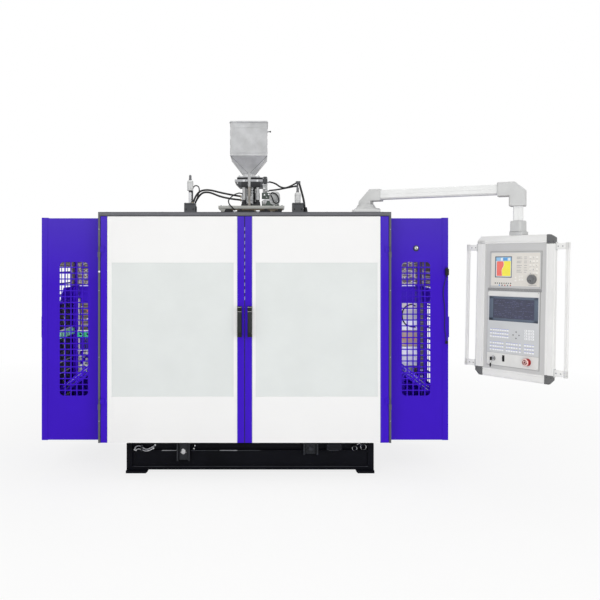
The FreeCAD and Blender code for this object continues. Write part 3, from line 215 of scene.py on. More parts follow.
# key: name, colour, roughness, cloudiness and its size, grain, bump, more
LOOKS = {
    "violet": ("violet_paint", VIOLET, 0.5, 0.05, 0.8, 900, 0.10, DULL_RUBBED_PAINTED_TOP_LIGHT),
    "violet_door": ("violet_door_paint", VIOLET, 0.5, 0.05, 0.8, 900, 0.10,
                    {**DULL_RUBBED_PAINTED_TOP_LIGHT, "beyond": (1.0803, rgb(84, 84, 92))}),
    "violet_deep": ("violet_paint_inside", (52, 20, 160), 0.5, 0.08, 0.5, 900, 0.12, {"rim": 0.002}),
    "skin": ("white_enamel", (240, 240, 241), 0.34, 0.012, 0.9, 650, 0.06, {"coat": 0.1, "spec": 0.3}),
    "skin_edged": ("white_enamel_edged", (240, 240, 241), 0.34, 0.012, 0.9, 650, 0.06,
                   {"coat": 0.1, "spec": 0.3, "beyond": (1.0185, rgb(*VIOLET))}),
    "grey": ("grey_frame_paint", (86, 87, 93), 0.45, 0.05, 0.5, 900, 0.12, {"rim": 0.0015}),
    "black": ("black_frame_paint", (13, 14, 20), 0.42, 0.3, 0.35, 500, 0.2,
              {"spec": 0.08, "speck": 0.25, "speck_color": SPECKS, "rim": 0.002}),
    "machine": ("machine_grey_paint", (140, 142, 144), 0.45, 0.08, 0.4, 600, 0.15, {"speck": 0.2, "rim": 0.002}),
    "clamp": ("platen_paint", (205, 207, 206), 0.42, 0.06, 0.3, 500, 0.15, {"speck": 0.3, "rim": 0.002}),
    "steel": ("ground_steel", (176, 177, 180), 0.30, 0.08, 0.2, 260, 0.12, {"metal": 1.0, "stretch": ACROSS_X}),
    "alloy": ("mould_alloy", (200, 202, 205), 0.28, 0.05, 0.12, 300, 0.15, {"metal": 1.0, "stretch": ALONG_Z}),
    "head": ("heated_steel", (120, 116, 112), 0.5, 0.2, 0.12, 300, 0.3, {"metal": 0.8, "speck": 0.4}),
    "barrel": ("heater_band", (150, 147, 142), 0.38, 0.12, 0.15, 240, 0.25, {"metal": 0.9}),
    "drive": ("drive_blue_paint", (52, 66, 104), 0.42, 0.1, 0.3, 420, 0.25, {"rim": 0.002}),
    "hopper": ("hopper_stainless", (200, 201, 203), 0.42, 0.10, 0.10, 240, 0.3,
               {"metal": 0.3, "stretch": (1, 1, 0.04), "rim": 0.0015, "spread": 0.12}),
    # the cone: the hopper's stainless, lighter and less metallic, which paints light on its downward faces
    "hopper_cone": ("hopper_cone_stainless_painted_lighter", (232, 233, 235), 0.45, 0.10, 0.10, 240, 0.25, {"metal": 0.1}),
    "block": ("blackened_block", (84, 86, 89), 0.5, 0.12, 0.1, 300, 0.3, {"metal": 0.2, "rim": 0.0015}),
    "stand": ("pale_plate_paint", (196, 197, 192), 0.5, 0.08, 0.15, 400, 0.2, {"speck": 0.4, "rim": 0.0015}),
    "chrome": ("hard_chrome", (205, 206, 208), 0.16, 0.04, 0.1, 400, 0.05, {"metal": 1.0}),
    "cylinder": ("nickel_plate", (140, 141, 142), 0.28, 0.08, 0.08, 260, 0.2, {"metal": 0.9, "rim": 0.0015}),
    "valve": ("valve_casting", (168, 170, 170), 0.42, 0.1, 0.08, 350, 0.35, {"metal": 0.4, "rim": 0.0015}),
    "cabinet": ("cabinet_textured_paint", (214, 214, 208), 0.55, 0.03, 0.6, 330, 0.5, {}),
    "tank": ("tank_paint", (84, 87, 91), 0.42, 0.1, 0.3, 480, 0.2, {"rim": 0.002}),
    "arm": ("boom_white_paint", (231, 232, 233), 0.38, 0.02, 0.3, 520, 0.12, {"rim": 0.0015}),
    "casting": ("boom_grey_casting", (201, 202, 203), 0.45, 0.04, 0.12, 420, 0.3, {"rim": 0.0015}),
    "profile": ("profile_white", (234, 234, 234), 0.34, 0.02, 0.3, 520, 0.08,
                {"stretch": (1, 1, 0.1), "rim": 0.0015}),
    "bezel": ("bezel_grey", (200, 200, 201), 0.5, 0.02, 0.25, 560, 0.25, {}),
    "beige": ("panel_foil_beige", (226, 222, 216), 0.48, 0.02, 0.15, 700, 0.15, {}),
    "foil": ("panel_foil_grey", (204, 206, 209), 0.48, 0.02, 0.15, 700, 0.15, {}),
    "glass": ("dark_screen", (44, 48, 78), 0.14, 0.18, 0.05, 260, 0.03, {"coat": 0.6}),
    "knob": ("knob_plastic", (112, 113, 115), 0.5, 0.06, 0.02, 900, 0.3, {}),
    "red": ("stop_red_plastic", (176, 36, 38), 0.32, 0.08, 0.02, 700, 0.1, {"coat": 0.4}),
    "rubber": ("hose_rubber", (24, 24, 25), 0.5, 0.2, 0.03, 700, 0.4,
               {"speck": 0.15, "speck_color": rgb(70, 70, 70)}),
    "plastic": ("black_plastic", (24, 24, 27), 0.45, 0.15, 0.03, 800, 0.3, {"spec": 0.25, "rim": 0.001}),
    "window": ("frosted_sheet", (222, 226, 226), 0.42, 0.02, 0.3, 14, 0.02,
               {"stretch": (0.04, 1, 1), "spec": 0.35, "spread": 0.08})}
M = {key: surface(name, rgb(*color), rough, vary, size, grain, bump, **more)
     for key, (name, color, rough, vary, size, grain, bump, more) in LOOKS.items()}

# small parts: key, colour, roughness and what differs from the usual
USUAL = {"vary": 0.04, "size": 0.1, "grain": 600, "bump": 0.15}
for key, color, rough, extra in (
        ("dark_line", (78, 79, 82), 0.5, {}), ("corner", (100, 101, 102), 0.5, {"grain": 500, "bump": 0.3}),
        ("tube_foot", (205, 205, 207), 0.5, {}), ("trim", (102, 103, 108), 0.45, {}),
        ("cooler", (118, 106, 104), 0.5, {"vary": 0.2, "size": 0.05, "bump": 0.4}),
        ("cooler_light", (214, 208, 204), 0.5, {"vary": 0.12, "size": 0.03}),
        ("pale_box", (196, 195, 192), 0.5, {"vary": 0.1}), ("white_box", (238, 239, 240), 0.45, {}),
        ("tan_box", (176, 154, 132), 0.5, {"vary": 0.1, "size": 0.05}), ("orange", (214, 120, 62), 0.4, {}),
        ("dark_brown", (84, 72, 66), 0.5, {"vary": 0.2, "size": 0.04, "bump": 0.4}),
        ("green", (78, 208, 146), 0.42, {"vary": 0.08}), ("green_pale", (140, 214, 178), 0.42, {"vary": 0.1}),
        ("smoked", (9, 8, 18), 0.4, {"vary": 0.3, "size": 0.12, "spec": 0.12}),
        ("key_white", (246, 247, 250), 0.42, {"grain": 900}), ("label_blue", (150, 158, 222), 0.5, {}),
        ("print_grey", (166, 165, 166), 0.5, {}), ("screen_frame", (86, 98, 116), 0.4, {"grain": 500, "bump": 0.2}),
        ("screen_blue", (158, 204, 240), 0.28, {}), ("screen_pale", (236, 242, 246), 0.28, {}),
        ("screen_red", (240, 106, 116), 0.28, {"tint": (rgb(250, 130, 110), 1.3, 1.7)}),
        ("screen_yellow", (253, 240, 84), 0.28, {}), ("screen_mid", (98, 164, 226), 0.28, {}),
        ("foil_light", (226, 226, 225), 0.48, {}), ("key_pale", (240, 237, 232), 0.45, {"grain": 900}),
        ("screen_marks", (88, 92, 124), 0.3, {}), ("stop_pale", (236, 206, 200), 0.4, {}),
        ("stop_dark", (112, 28, 30), 0.4, {}),
        ("handle", (38, 40, 44), 0.42, {"spec": 0.25, "grain": 500, "bump": 0.35, "vary": 0.12}),
        ("seal", (26, 26, 30), 0.6, {"bump": 0.4}), ("seal_pale", (150, 150, 170), 0.5, {}),
        ("hopper_seam", (160, 161, 163), 0.4, {"metal": 0.4, "bump": 0.4}),
        ("block_dark", (40, 41, 44), 0.5, {"metal": 0.2, "vary": 0.15, "grain": 300, "bump": 0.3, "rim": 0.001}),
        ("brass", (146, 134, 110), 0.38, {"metal": 0.5, "vary": 0.12, "grain": 300}),
        ("rod_brown", (142, 138, 132), 0.4, {"metal": 0.3, "vary": 0.2, "size": 0.05}),
        ("bronze", (104, 96, 82), 0.45, {"metal": 0.4, "vary": 0.3, "size": 0.06, "grain": 260, "bump": 0.4}),
        ("nickel", (176, 177, 178), 0.34, {"metal": 0.4, "vary": 0.12, "size": 0.05, "rim": 0.001}),
        ("valve_dark", (58, 60, 62), 0.5, {"vary": 0.15, "grain": 300, "bump": 0.4, "rim": 0.001}),
        ("valve_green", (74, 86, 80), 0.5, {"vary": 0.2, "size": 0.04, "grain": 300, "bump": 0.4, "rim": 0.001}),
        ("pin", (200, 201, 203), 0.22, {"metal": 0.7, "size": 0.1, "grain": 300}),
        ("sleeve", (222, 223, 224), 0.4, {"metal": 0.1, "size": 0.05, "bump": 0.25}),
        ("cap_grey", (112, 113, 116), 0.42, {"metal": 0.4, "vary": 0.12, "size": 0.05}),
        ("base_box", (24, 25, 31), 0.45, {"spec": 0.15}),
        ("base_cheek", (44, 46, 50), 0.45, {"spec": 0.2, "vary": 0.15, "size": 0.05, "bump": 0.3, "rim": 0.001}),
        ("base_gloss", (50, 52, 57), 0.4, {"spec": 0.2, "vary": 0.3, "size": 0.08, "bump": 0.2}),
        ("base_glint", (150, 152, 157), 0.35, {"vary": 0.3, "size": 0.05, "bump": 0.2})):
    M[key] = surface("finish_" + key, rgb(*color), rough, **{**USUAL, **extra})

PAINT = {
    "black": "base_frame", "machine": "machine_frame left_carriage right_carriage", "grey": "portal_frame",
    "violet": "left_wing_cover right_wing_cover wing_frames left_side_door right_side_door", "head": "die_head",
    "steel": "carriage_rails hopper_gate key_switch", "barrel": "extruder_barrel", "drive": "extruder_drive",
    "hopper": "hopper", "block": "hopper_neck blow_cylinders", "stand": "parison_stand",
    "cylinder": "parison_cylinder", "valve": "servo_valve", "cabinet": "electrical_cabinet cabinet_door",
    "tank": "hydraulic_unit", "violet_deep": "rear_guard", "casting": "arm_pedestal",
    "plastic": "door_switch left_door_handle right_door_handle", "violet_door": "left_door right_door",
    "skin": "left_door_skin", "skin_edged": "right_door_skin", "window": "left_door_window right_door_window",
    "clamp": "left_front_platen left_rear_platen right_front_platen right_rear_platen",
    "alloy": "left_front_mould left_rear_mould right_front_mould right_rear_mould",
    "pin": "left_blow_pin right_blow_pin", "arm": "control_arm", "profile": "panel_housing panel_handles",
    "bezel": "panel_face", "glass": "panel_screens", "knob": "panel_knob", "red": "emergency_stop"}
for key, painted in PAINT.items():
    for name in painted.split():
        materials = nodes[name].data.materials
        materials.clear()
        materials.append(M[key])


# ---------------------------------------------------------------- cords
def cord(name, node, points, diameter):
    curve = bpy.data.curves.new(name, "CURVE")
    curve.dimensions = "3D"
    line = curve.splines.new("NURBS")
    line.points.add(len(points) - 1)
    for p, q in zip(line.points, points):
        p.co = (q[0] / 1000, q[1] / 1000, q[2] / 1000, 1.0)
    line.order_u = 3
    line.use_endpoint_u = True
    curve.resolution_u = 14
    curve.bevel_depth = diameter / 2000
    curve.bevel_resolution = 6
    curve.use_fill_caps = True
    curve.materials.append(M["rubber"])
    piece = bpy.data.objects.new(name, curve)
    bpy.context.scene.collection.objects.link(piece)
    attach(piece, "machine")
    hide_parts(node)


# hoses on the roof: key, points with y from the head's centre line, length, diameter, stiffness
HEAD_Y = -200
for key, line, length, diameter, stiffness in (
        ("left_upper", [(-454, -30, 2109), (-428, -36, 2196), (-340, -42, 2232), (-180, -48, 2188),
                        (-45, -48, 2167)], 0.480, 16, "medium"),
        ("left_lower", [(-442, 6, 2109), (-406, -14, 2186), (-330, -30, 2214), (-190, -48, 2150),
                        (-45, -48, 2137)], 0.462, 16, "medium"),
        ("left_loop", [(-466, 38, 2224), (-460, 38, 2259), (-429, 36, 2271), (-404, 32, 2250), (-409, 28, 2190),
                       (-446, 24, 2109)], 0.243, 10, "limp"),
        ("right_upper", [(186, -14, 2294), (236, -16, 2287), (290, -20, 2243), (352, -8, 2243), (424, 40, 2292)],
         0.277, 14, "medium"),
        ("right_lower", [(186, 14, 2222), (262, 16, 2230), (340, 32, 2248), (414, 40, 2262)], 0.234, 14, "medium"),
        ("right_drop", [(449, 38, 2284), (474, 36, 2196), (494, 24, 2106), (498, 2, 1986)], 0.306, 18, "medium")):
    cord(key + "_line", key + "_hose", [(x, HEAD_Y + y, z) for x, y, z in line], diameter)
cord("switch_line", "switch_cable", [(1534, -824, 1506), (1514, -821, 1440), (1508, -819, 1366), (1520, -819, 1292),
     (1524, -819, 1212), (1519, -819, 1132), (1526, -819, 1062), (1534, -819, 1008)], 6)


# ---------------------------------------------------------------- mesh pieces, in millimetres
UP, DOWN, FORE, BACK, RIGHT, LEFT = (0, 0, 1), (0, 0, -1), (0, -1, 0), (0, 1, 0), (1, 0, 0), (-1, 0, 0)
SHARP_ANGLE = radians(38)


def grid(xs, ys, zs):
    """Every point with one x, one y and one z; a bare number counts as a list of one."""
    xs, ys, zs = ((v,) if isinstance(v, (int, float)) else v for v in (xs, ys, zs))
    return [(x, y, z) for x in xs for y in ys for z in zs]


def on_circle(count, r=1.0, start=0.0):
    """Points (cos, sin) spread evenly on a circle, the first one at the start angle."""
    return [(r * cos(a), r * sin(a)) for a in (start + 2 * pi * k / count for k in range(count))]


def level_ring(size, z, at=(0, 0), count=48):
    """One level ring: a circle if size is a radius, or a rounded rectangle if it is two half sizes."""
    out = []
    for c, s in on_circle(count, 1.0, pi / count):
        if isinstance(size, tuple):
            k = (abs(c) ** 9 + abs(s) ** 9) ** (-1 / 9)
            out.append((at[0] + size[0] * k * c, at[1] + size[1] * k * s, z))
        else:
            out.append((at[0] + size * c, at[1] + size * s, z))
    return out


def placed(way, at):
    """Turns a part built along z into the given way and moves it there."""
    turn = Vector(UP).rotation_difference(Vector(way).normalized()).to_matrix().to_4x4()
    return Matrix.Translation(Vector(at)) @ turn


class Piece:
    """One mesh piece made of many bevelled parts, each with its own material."""

    def __init__(self, name, mats, at=(0.0, 0.0, 0.0), yaw=0.0, frame=None):
        self.name = name
        self.mats = mats.split()
        self.mesh = bmesh.new()
        self.at = frame or Matrix.Translation(Vector(at)) @ Matrix.Rotation(radians(yaw), 4, "Z")

    def take(self, part, mat, turn=None):
        if turn is not None:
            part.transform(turn)
        for f in part.faces:
            f.material_index = mat
            f.smooth = True
        tmp = bpy.data.meshes.new("tmp")
        part.to_mesh(tmp)
        part.free()
        self.mesh.from_mesh(tmp)
        bpy.data.meshes.remove(tmp)

    def box(self, x0, x1, y0, y1, z0, z1, r=1.0, mat=0, seg=2, turn=None):
        """Bevelled box; the two x values come in any order, so that a sign can mirror it."""
        x0, x1 = sorted((x0, x1))
        part = bmesh.new()
        bmesh.ops.create_cube(part, size=1.0)
        size = Matrix.Diagonal((x1 - x0, y1 - y0, z1 - z0, 1))
        part.transform(Matrix.Translation(((x0 + x1) / 2, (y0 + y1) / 2, (z0 + z1) / 2)) @ size)
        r = min(r, 0.45 * min(x1 - x0, y1 - y0, z1 - z0))
        if r > 0:
            bmesh.ops.bevel(part, geom=part.edges[:], offset=r, segments=seg, profile=0.5, affect="EDGES")
        self.take(part, mat, turn)

    def boxes(self, *rows):
        for row in rows:
            self.box(*row)

    def prism(self, points, axis, a, b, r=0.0, mat=0, seg=2):
        """Outline in the plane normal to axis, pushed from a to b."""
        part = bmesh.new()
        spot = "xyz".index(axis)
        face = part.faces.new([part.verts.new(p[:spot] + (a,) + p[spot:]) for p in points])
        out = bmesh.ops.extrude_face_region(part, geom=[face])
        way = Vector((0, 0, 0))
        way[spot] = b - a
        bmesh.ops.translate(part, vec=way, verts=[v for v in out["geom"] if isinstance(v, bmesh.types.BMVert)])
        bmesh.ops.recalc_face_normals(part, faces=part.faces[:])
        if r:
            bmesh.ops.bevel(part, geom=part.edges[:], offset=r, segments=seg, profile=0.5, affect="EDGES")
        self.take(part, mat)

    def skin(self, rows, mat, turn=None, ends=True, loop=False, weld=False):
        """Faces between rows of points; the ends are closed, or the last row joins the first."""
        part = bmesh.new()
        rows = [[part.verts.new(p) for p in row] for row in rows]
        n = len(rows[0])
        for a, b in zip(rows, rows[1:] + (rows[:1] if loop else [])):
            for i in range(n):
                part.faces.new((a[i], a[(i + 1) % n], b[(i + 1) % n], b[i]))
        if ends:
            part.faces.new(rows[0][::-1])
            part.faces.new(rows[-1])
        if weld:
            bmesh.ops.remove_doubles(part, verts=part.verts[:], dist=0.01)
        bmesh.ops.recalc_face_normals(part, faces=part.faces[:])
        self.take(part, mat, turn)

    def turned(self, base, way, outline, seg=32, mat=0, cap=True):
        """Round part: outline is a list of (radius, height) along the way from base."""
        self.skin([[(x, y, h) for x, y in on_circle(seg, r)] for r, h in outline], mat, placed(way, base), cap)

    def rod(self, base, way, r, length, edge=0.6, seg=28, mat=0):
        e = min(edge, r * 0.4, length * 0.4)
        self.turned(base, way, [(r - e, 0), (r, e), (r, length - e), (r - e, length)], seg, mat)

    def rods(self, points, *rest):
        for q in points:
            self.rod(q, *rest)

    def hexagon(self, base, way, r, length, mat=0):
        e = r * 0.12
        self.turned(base, way, [(r - e, 0), (r, e), (r, length - e), (r - e, length)], 6, mat)

    def hexagons(self, points, *rest):
        for q in points:
            self.hexagon(q, *rest)

    def bolts(self, points, way, r=8.0, height=6.0, mat=0):
        """Bolt heads on washers at the given points."""
        self.rods(points, way, r * 1.35, 1.6, 0.4, 24, mat)
        self.hexagons([Vector(q) + Vector(way) * 1.6 for q in points], way, r, height, mat)

    def ring(self, centre, way, major, minor, mat=0, seg=32, around=10):
        rows = [[((major + minor * c) * x, (major + minor * c) * y, minor * s) for c, s in on_circle(around)]
                for x, y in on_circle(seg)]
        self.skin(rows, mat, placed(way, centre), ends=False, loop=True)

    def wire(self, points, r, mat=0, around=10, steps=8):
        """Bent round bar or cable through the points."""
        pts = [Vector(p) for p in points]
        line = []
        for i in range(len(pts) - 1):
            p0, p1, p2 = pts[max(i - 1, 0)], pts[i], pts[i + 1]
            p3 = pts[min(i + 2, len(pts) - 1)]
            for s in range(steps):
                t = s / steps
                line.append(0.5 * ((2 * p1) + (p2 - p0) * t + (2 * p0 - 5 * p1 + 4 * p2 - p3) * t * t
                                   + (3 * p1 - p0 - 3 * p2 + p3) * t * t * t))
        line.append(pts[-1])
        side = (line[1] - line[0]).normalized().orthogonal().normalized()
        rows = []
        for i, p in enumerate(line):
            way = (line[min(i + 1, len(line) - 1)] - line[max(i - 1, 0)]).normalized()
            side = (side - way * side.dot(way)).normalized()
            other = way.cross(side)
            rows.append([p + (side * c + other * s) * r for c, s in on_circle(around)])
        self.skin(rows, mat)

    def loft(self, rings, mat=0):
        """Closed wall through the rings, its last ring joined to its first."""
        self.skin(rings, mat, ends=False, loop=True, weld=True)

    def tower(self, rows, mat=0, at=(0, 0)):
        """Closed wall through level rings given as (size, z)."""
        self.loft([level_ring(size, z, at) for size, z in rows], mat)

    def sheet(self, area, holes, y0, y1, mat=0):
        """Thin upright sheet (x0, x1, z0, z1) with rectangular holes."""
        x0, x1, z0, z1 = area
        xs = sorted({x0, x1} | {v for h in holes for v in h[:2] if x0 < v < x1})
        zs = sorted({z0, z1} | {v for h in holes for v in h[2:] if z0 < v < z1})
        part = bmesh.new()
        spots = {(x, z): part.verts.new((x, y0, z)) for x in xs for z in zs}
        faces = []
        for xa, xb in zip(xs, xs[1:]):
            for za, zb in zip(zs, zs[1:]):
                mx, mz = (xa + xb) / 2, (za + zb) / 2
                if not any(h[0] < mx < h[1] and h[2] < mz < h[3] for h in holes):
                    faces.append(part.faces.new([spots[k] for k in ((xa, za), (xb, za), (xb, zb), (xa, zb))]))
        out = bmesh.ops.extrude_face_region(part, geom=faces)
        moved = [v for v in out["geom"] if isinstance(v, bmesh.types.BMVert)]
        bmesh.ops.translate(part, vec=(0, y1 - y0, 0), verts=moved)
        loose = [v for v in part.verts if not v.link_faces]
        bmesh.ops.delete(part, geom=loose, context="VERTS")
        bmesh.ops.recalc_face_normals(part, faces=part.faces[:])
        self.take(part, mat)

    def done(self, body, slot, *replaced):
        self.mesh.transform(Matrix.Diagonal((0.001, 0.001, 0.001, 1)) @ self.at)
        for e in self.mesh.edges:
            if len(e.link_faces) == 2 and e.calc_face_angle(0.0) > SHARP_ANGLE:
                e.smooth = False
        data = bpy.data.meshes.new(self.name)
        self.mesh.to_mesh(data)
        self.mesh.free()
        for m in self.mats:
            data.materials.append(M[m])
        piece = bpy.data.objects.new(self.name, data)
        bpy.context.scene.collection.objects.link(piece)
        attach(piece, body)
        if replaced:
            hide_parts(*replaced)


# ---------------------------------------------------------------- control boom
ARM_AT = (929, -770, 0)
ARM_YAW = -26.4
ARM_LEN = 1106


def boom():
    p = Piece("boom_tube_and_castings", "arm casting print_grey steel tube_foot", ARM_AT, ARM_YAW)
    x1 = ARM_LEN - 135
    y, lo, hi = 35, 2088, 2160
    half = [(y - 9, hi), (y - 3, hi - 3), (y, hi - 9), (y, lo + 38), (y - 1.6, lo + 37), (y - 1.6, lo + 35),
            (y, lo + 34), (y, lo + 12)]
    p.prism([(-a, z) for a, z in half[::-1]] + half, "x", 118, x1 + 4)
    # lower rounded edge of the tube in a darker grey: painted shade along its underside
    half = [(y - 7, lo), (y - 1, lo + 4), (y, lo + 11.6)]
    p.prism([(-a, z) for a, z in half[::-1]] + half, "x", 119, x1 + 3, 0, 4)
    low = 2054.4
    near = [(-46, low), (46, low), (46, lo - 8), (122, lo - 8), (122, hi + 8), (40, hi + 8), (-46, low + 22)]
    p.prism(near, "y", -46, 46, 4.5, 1, 3)
    far = [(x1, lo - 10), (1052, lo - 10), (1052, 2005), (1156, 2005), (1156, 2116), (1086, 2174), (x1, 2174)]
    p.prism(far, "y", -47, 47, 5.5, 1, 3)
    # grey strips under both castings and down the left side of the drop: gasket plates in a darker grey that paints
    # the shade along these edges; between them two casting flanges
    p.boxes((47, 124, -43.5, 43.5, lo - 10.5, lo - 7, 1.2, 2), (121, 125, -42, 42, lo - 5, hi + 5, 1.5, 1),
            (x1 - 1, 1050, -44, 44, lo - 13.5, lo - 9, 1.2, 2), (1048.5, 1053, -44, 44, 2004, lo - 11, 1.2, 2),
            (1053, 1153, -44.5, 44.5, 2002.5, 2006, 1, 2), (x1 - 3, x1 + 1, -43, 43, lo - 6, 2170, 1.5, 1),
            (ARM_LEN - 31.6, ARM_LEN - 29, -24, 6, 1903, 2002, 0.5, 2))
    post = [(-31, -24), (-24, -31), (-3, -31), (-2, -29.5), (2, -29.5), (3, -31), (24, -31), (31, -24), (31, 24),
            (24, 31), (-24, 31), (-31, 24), (-31, 3), (-29.5, 2), (-29.5, -2), (-31, -3)]
    p.prism([(a + ARM_LEN, b) for a, b in post], "z", 1902.6, 2007)
    for a, b in ((-32, -1), (-32, 1), (32, -1), (32, 1)):
        p.rod((a * 0.5 + 84, b * 45.4, 2124 + a), (0, b, 0), 5.5, 1.8, 0.5, 20, 1)
        p.rod((1080 + a, b * 46.4, 2096 - abs(a) * 0.4), (0, b, 0), 5.5, 1.6, 0.5, 20, 1)
    for x, z, r, length in ((0, 2018, 25, 38), (ARM_LEN, 1850, 22, 54), (ARM_LEN, 1836, 30, 15)):
        p.rod((x, 0, z), UP, r, length, 1.5, 40, 3)
    p.done("arm", "arm_white", "control_arm")

    p = Piece("boom_pedestal", "casting arm steel", ARM_AT)
    p.tower([(25.3, 2010), (25.3, 2053), (27, 2054), (62, 2054), (65, 2051), (65, 2044), (71, 2040), (74, 2030),
             ((86, 70), 2021), ((89, 72), 2014), ((89, 72), 2008), (40, 2008)])
    p.box(-100, 100, -80, 80, 1990.2, 2013, 3, 1, 3)
    corners = (-88, 88), (-68, 68)
    p.rods(grid(*corners, 2012.5), UP, 10, 2, 0.5, 24, 2)
    p.hexagons(grid(*corners, 2014.5), UP, 7.5, 6, 2)
    p.done("machine", "arm_white", "arm_pedestal")


# ---------------------------------------------------------------- control panel
DROP = Matrix.Translation((1919.66, -1261.76, 0)) @ Matrix.Rotation(radians(-52.6), 4, "Z")
LEAN_Z = 1299
PANEL = (DROP @ Matrix.Translation((0, 0, LEAN_Z)) @ Matrix.Rotation(radians(-1.9), 4, "X")
         @ Matrix.Translation((0, 0, -LEAN_Z)))
FRONT = -60


def panel_frame():
    p = Piece("panel_profiles_and_corners", "profile corner bezel dark_line steel", frame=PANEL)
    b0, b1 = FRONT, FRONT + 22
    side = [(238, b0 + 2), (240, b0), (251, b0), (252.5, b0 + 2.6), (256.5, b0 + 2.6), (258, b0), (283, b0),
            (284.5, b0 + 2.2), (288.5, b0 + 2.2), (290, b0), (297, b0), (302, b0 + 4), (302, b0 + 10),
            (299.6, b0 + 11), (299.6, b0 + 14), (302, b0 + 15), (302, b1), (238, b1)]
    p.prism(side, "z", 861, 1735)
    p.prism([(-u, b) for u, b in side][::-1], "z", 861, 1766)
    for outer, inner, x0, x1 in ((1798, 1743, -270, 239), (800, 857, -239, 239)):
        way = 1 if outer > inner else -1
        rail = [(b0 + 2, inner), (b0, inner + way * 2), (b0, inner + way * 9), (b0 + 2.4, inner + way * 10.5),
                (b0 + 2.4, inner + way * 14), (b0, inner + way * 15.5), (b0, outer - way * 12),
                (b0 + 2.2, outer - way * 11), (b0 + 2.2, outer - way * 8), (b0, outer - way * 7),
                (b0 + 0.6, outer - way * 3), (b0 + 4, outer), (b1, outer), (b1, inner)]
        p.prism(rail, "x", x0, x1)
    p.prism([(-302, 1765), (-302, 1766), (-270, 1798), (-269, 1798), (-269, 1744), (-302, 1744)], "y", b0, b1)
    cap = [(238, 800), (270, 800), (302, 832), (302, 862), (238, 862)]
    for outline in ([(238, 1798), (262, 1798), (272, 1793), (284, 1786), (302, 1776), (302, 1734), (238, 1734)],
                    cap, [(-u, z) for u, z in cap]):
        p.prism(outline, "y", b0 - 0.6, b1, 3, 1, 3)
    p.rods(grid((256, 288), b0 - 0.4, (846, 1750)) + grid((-256, -288), b0 - 0.4, 846), FORE, 4.2, 1, 0.3, 18, 3)
    f, f0, f1 = 238, 857, 1743
    # dark strips round the face opening, just inside the profiles: painted shadow of the frame on the recessed face;
    # the last box is the housing's back plate
    for x0, x1, back, z0, z1 in ((-f, f, b0 + 8, f1 - 1.5, f1 + 8), (-f, f, b0 + 8, f0 - 8, f0 + 1.5),
                                 (-f - 8, -f + 1.5, b0 + 8, f0 - 8, f1 + 8), (f - 1.5, f + 8, b0 + 8, f0 - 8, f1 + 8),
                                 (-f - 8, f + 8, 44, f0 - 8, f1 + 8)):
        p.box(x0, x1, back, 50, z0, z1, 1.5, 2)
    for k in range(7):
        for z in (960 + k * 16, 1560 + k * 16):
            p.box(-110, 110, 49.5, 51.5, z, z + 7, 0.6, 3)
    p.rods(grid((-226, 226), 49.6, (876, 1300, 1724)), BACK, 6, 2.4, 0.6, 20, 4)
    p.done("panel", "panel_alloy")

    p = Piece("panel_socket", "casting dark_line", frame=DROP)
    p.tower([(31, 1834), (31, 1852), (22.6, 1853), (22.6, 1901), ((37, 37), 1902), ((40, 40), 1899),
             ((42, 42), 1892), ((42, 42), 1832), ((46, 42), 1828), ((46, 42), 1826), ((40, 38), 1826)])
    p.boxes((-50, 50, -36, 44, 1800, 1826, 4, 0, 3), (-47, 47, -34, 41, 1797, 1801, 1, 1),
            (-50, 50, -36, 44, 1753, 1798, 3, 0, 3))
    p.done("panel", "arm_white", "panel_housing")


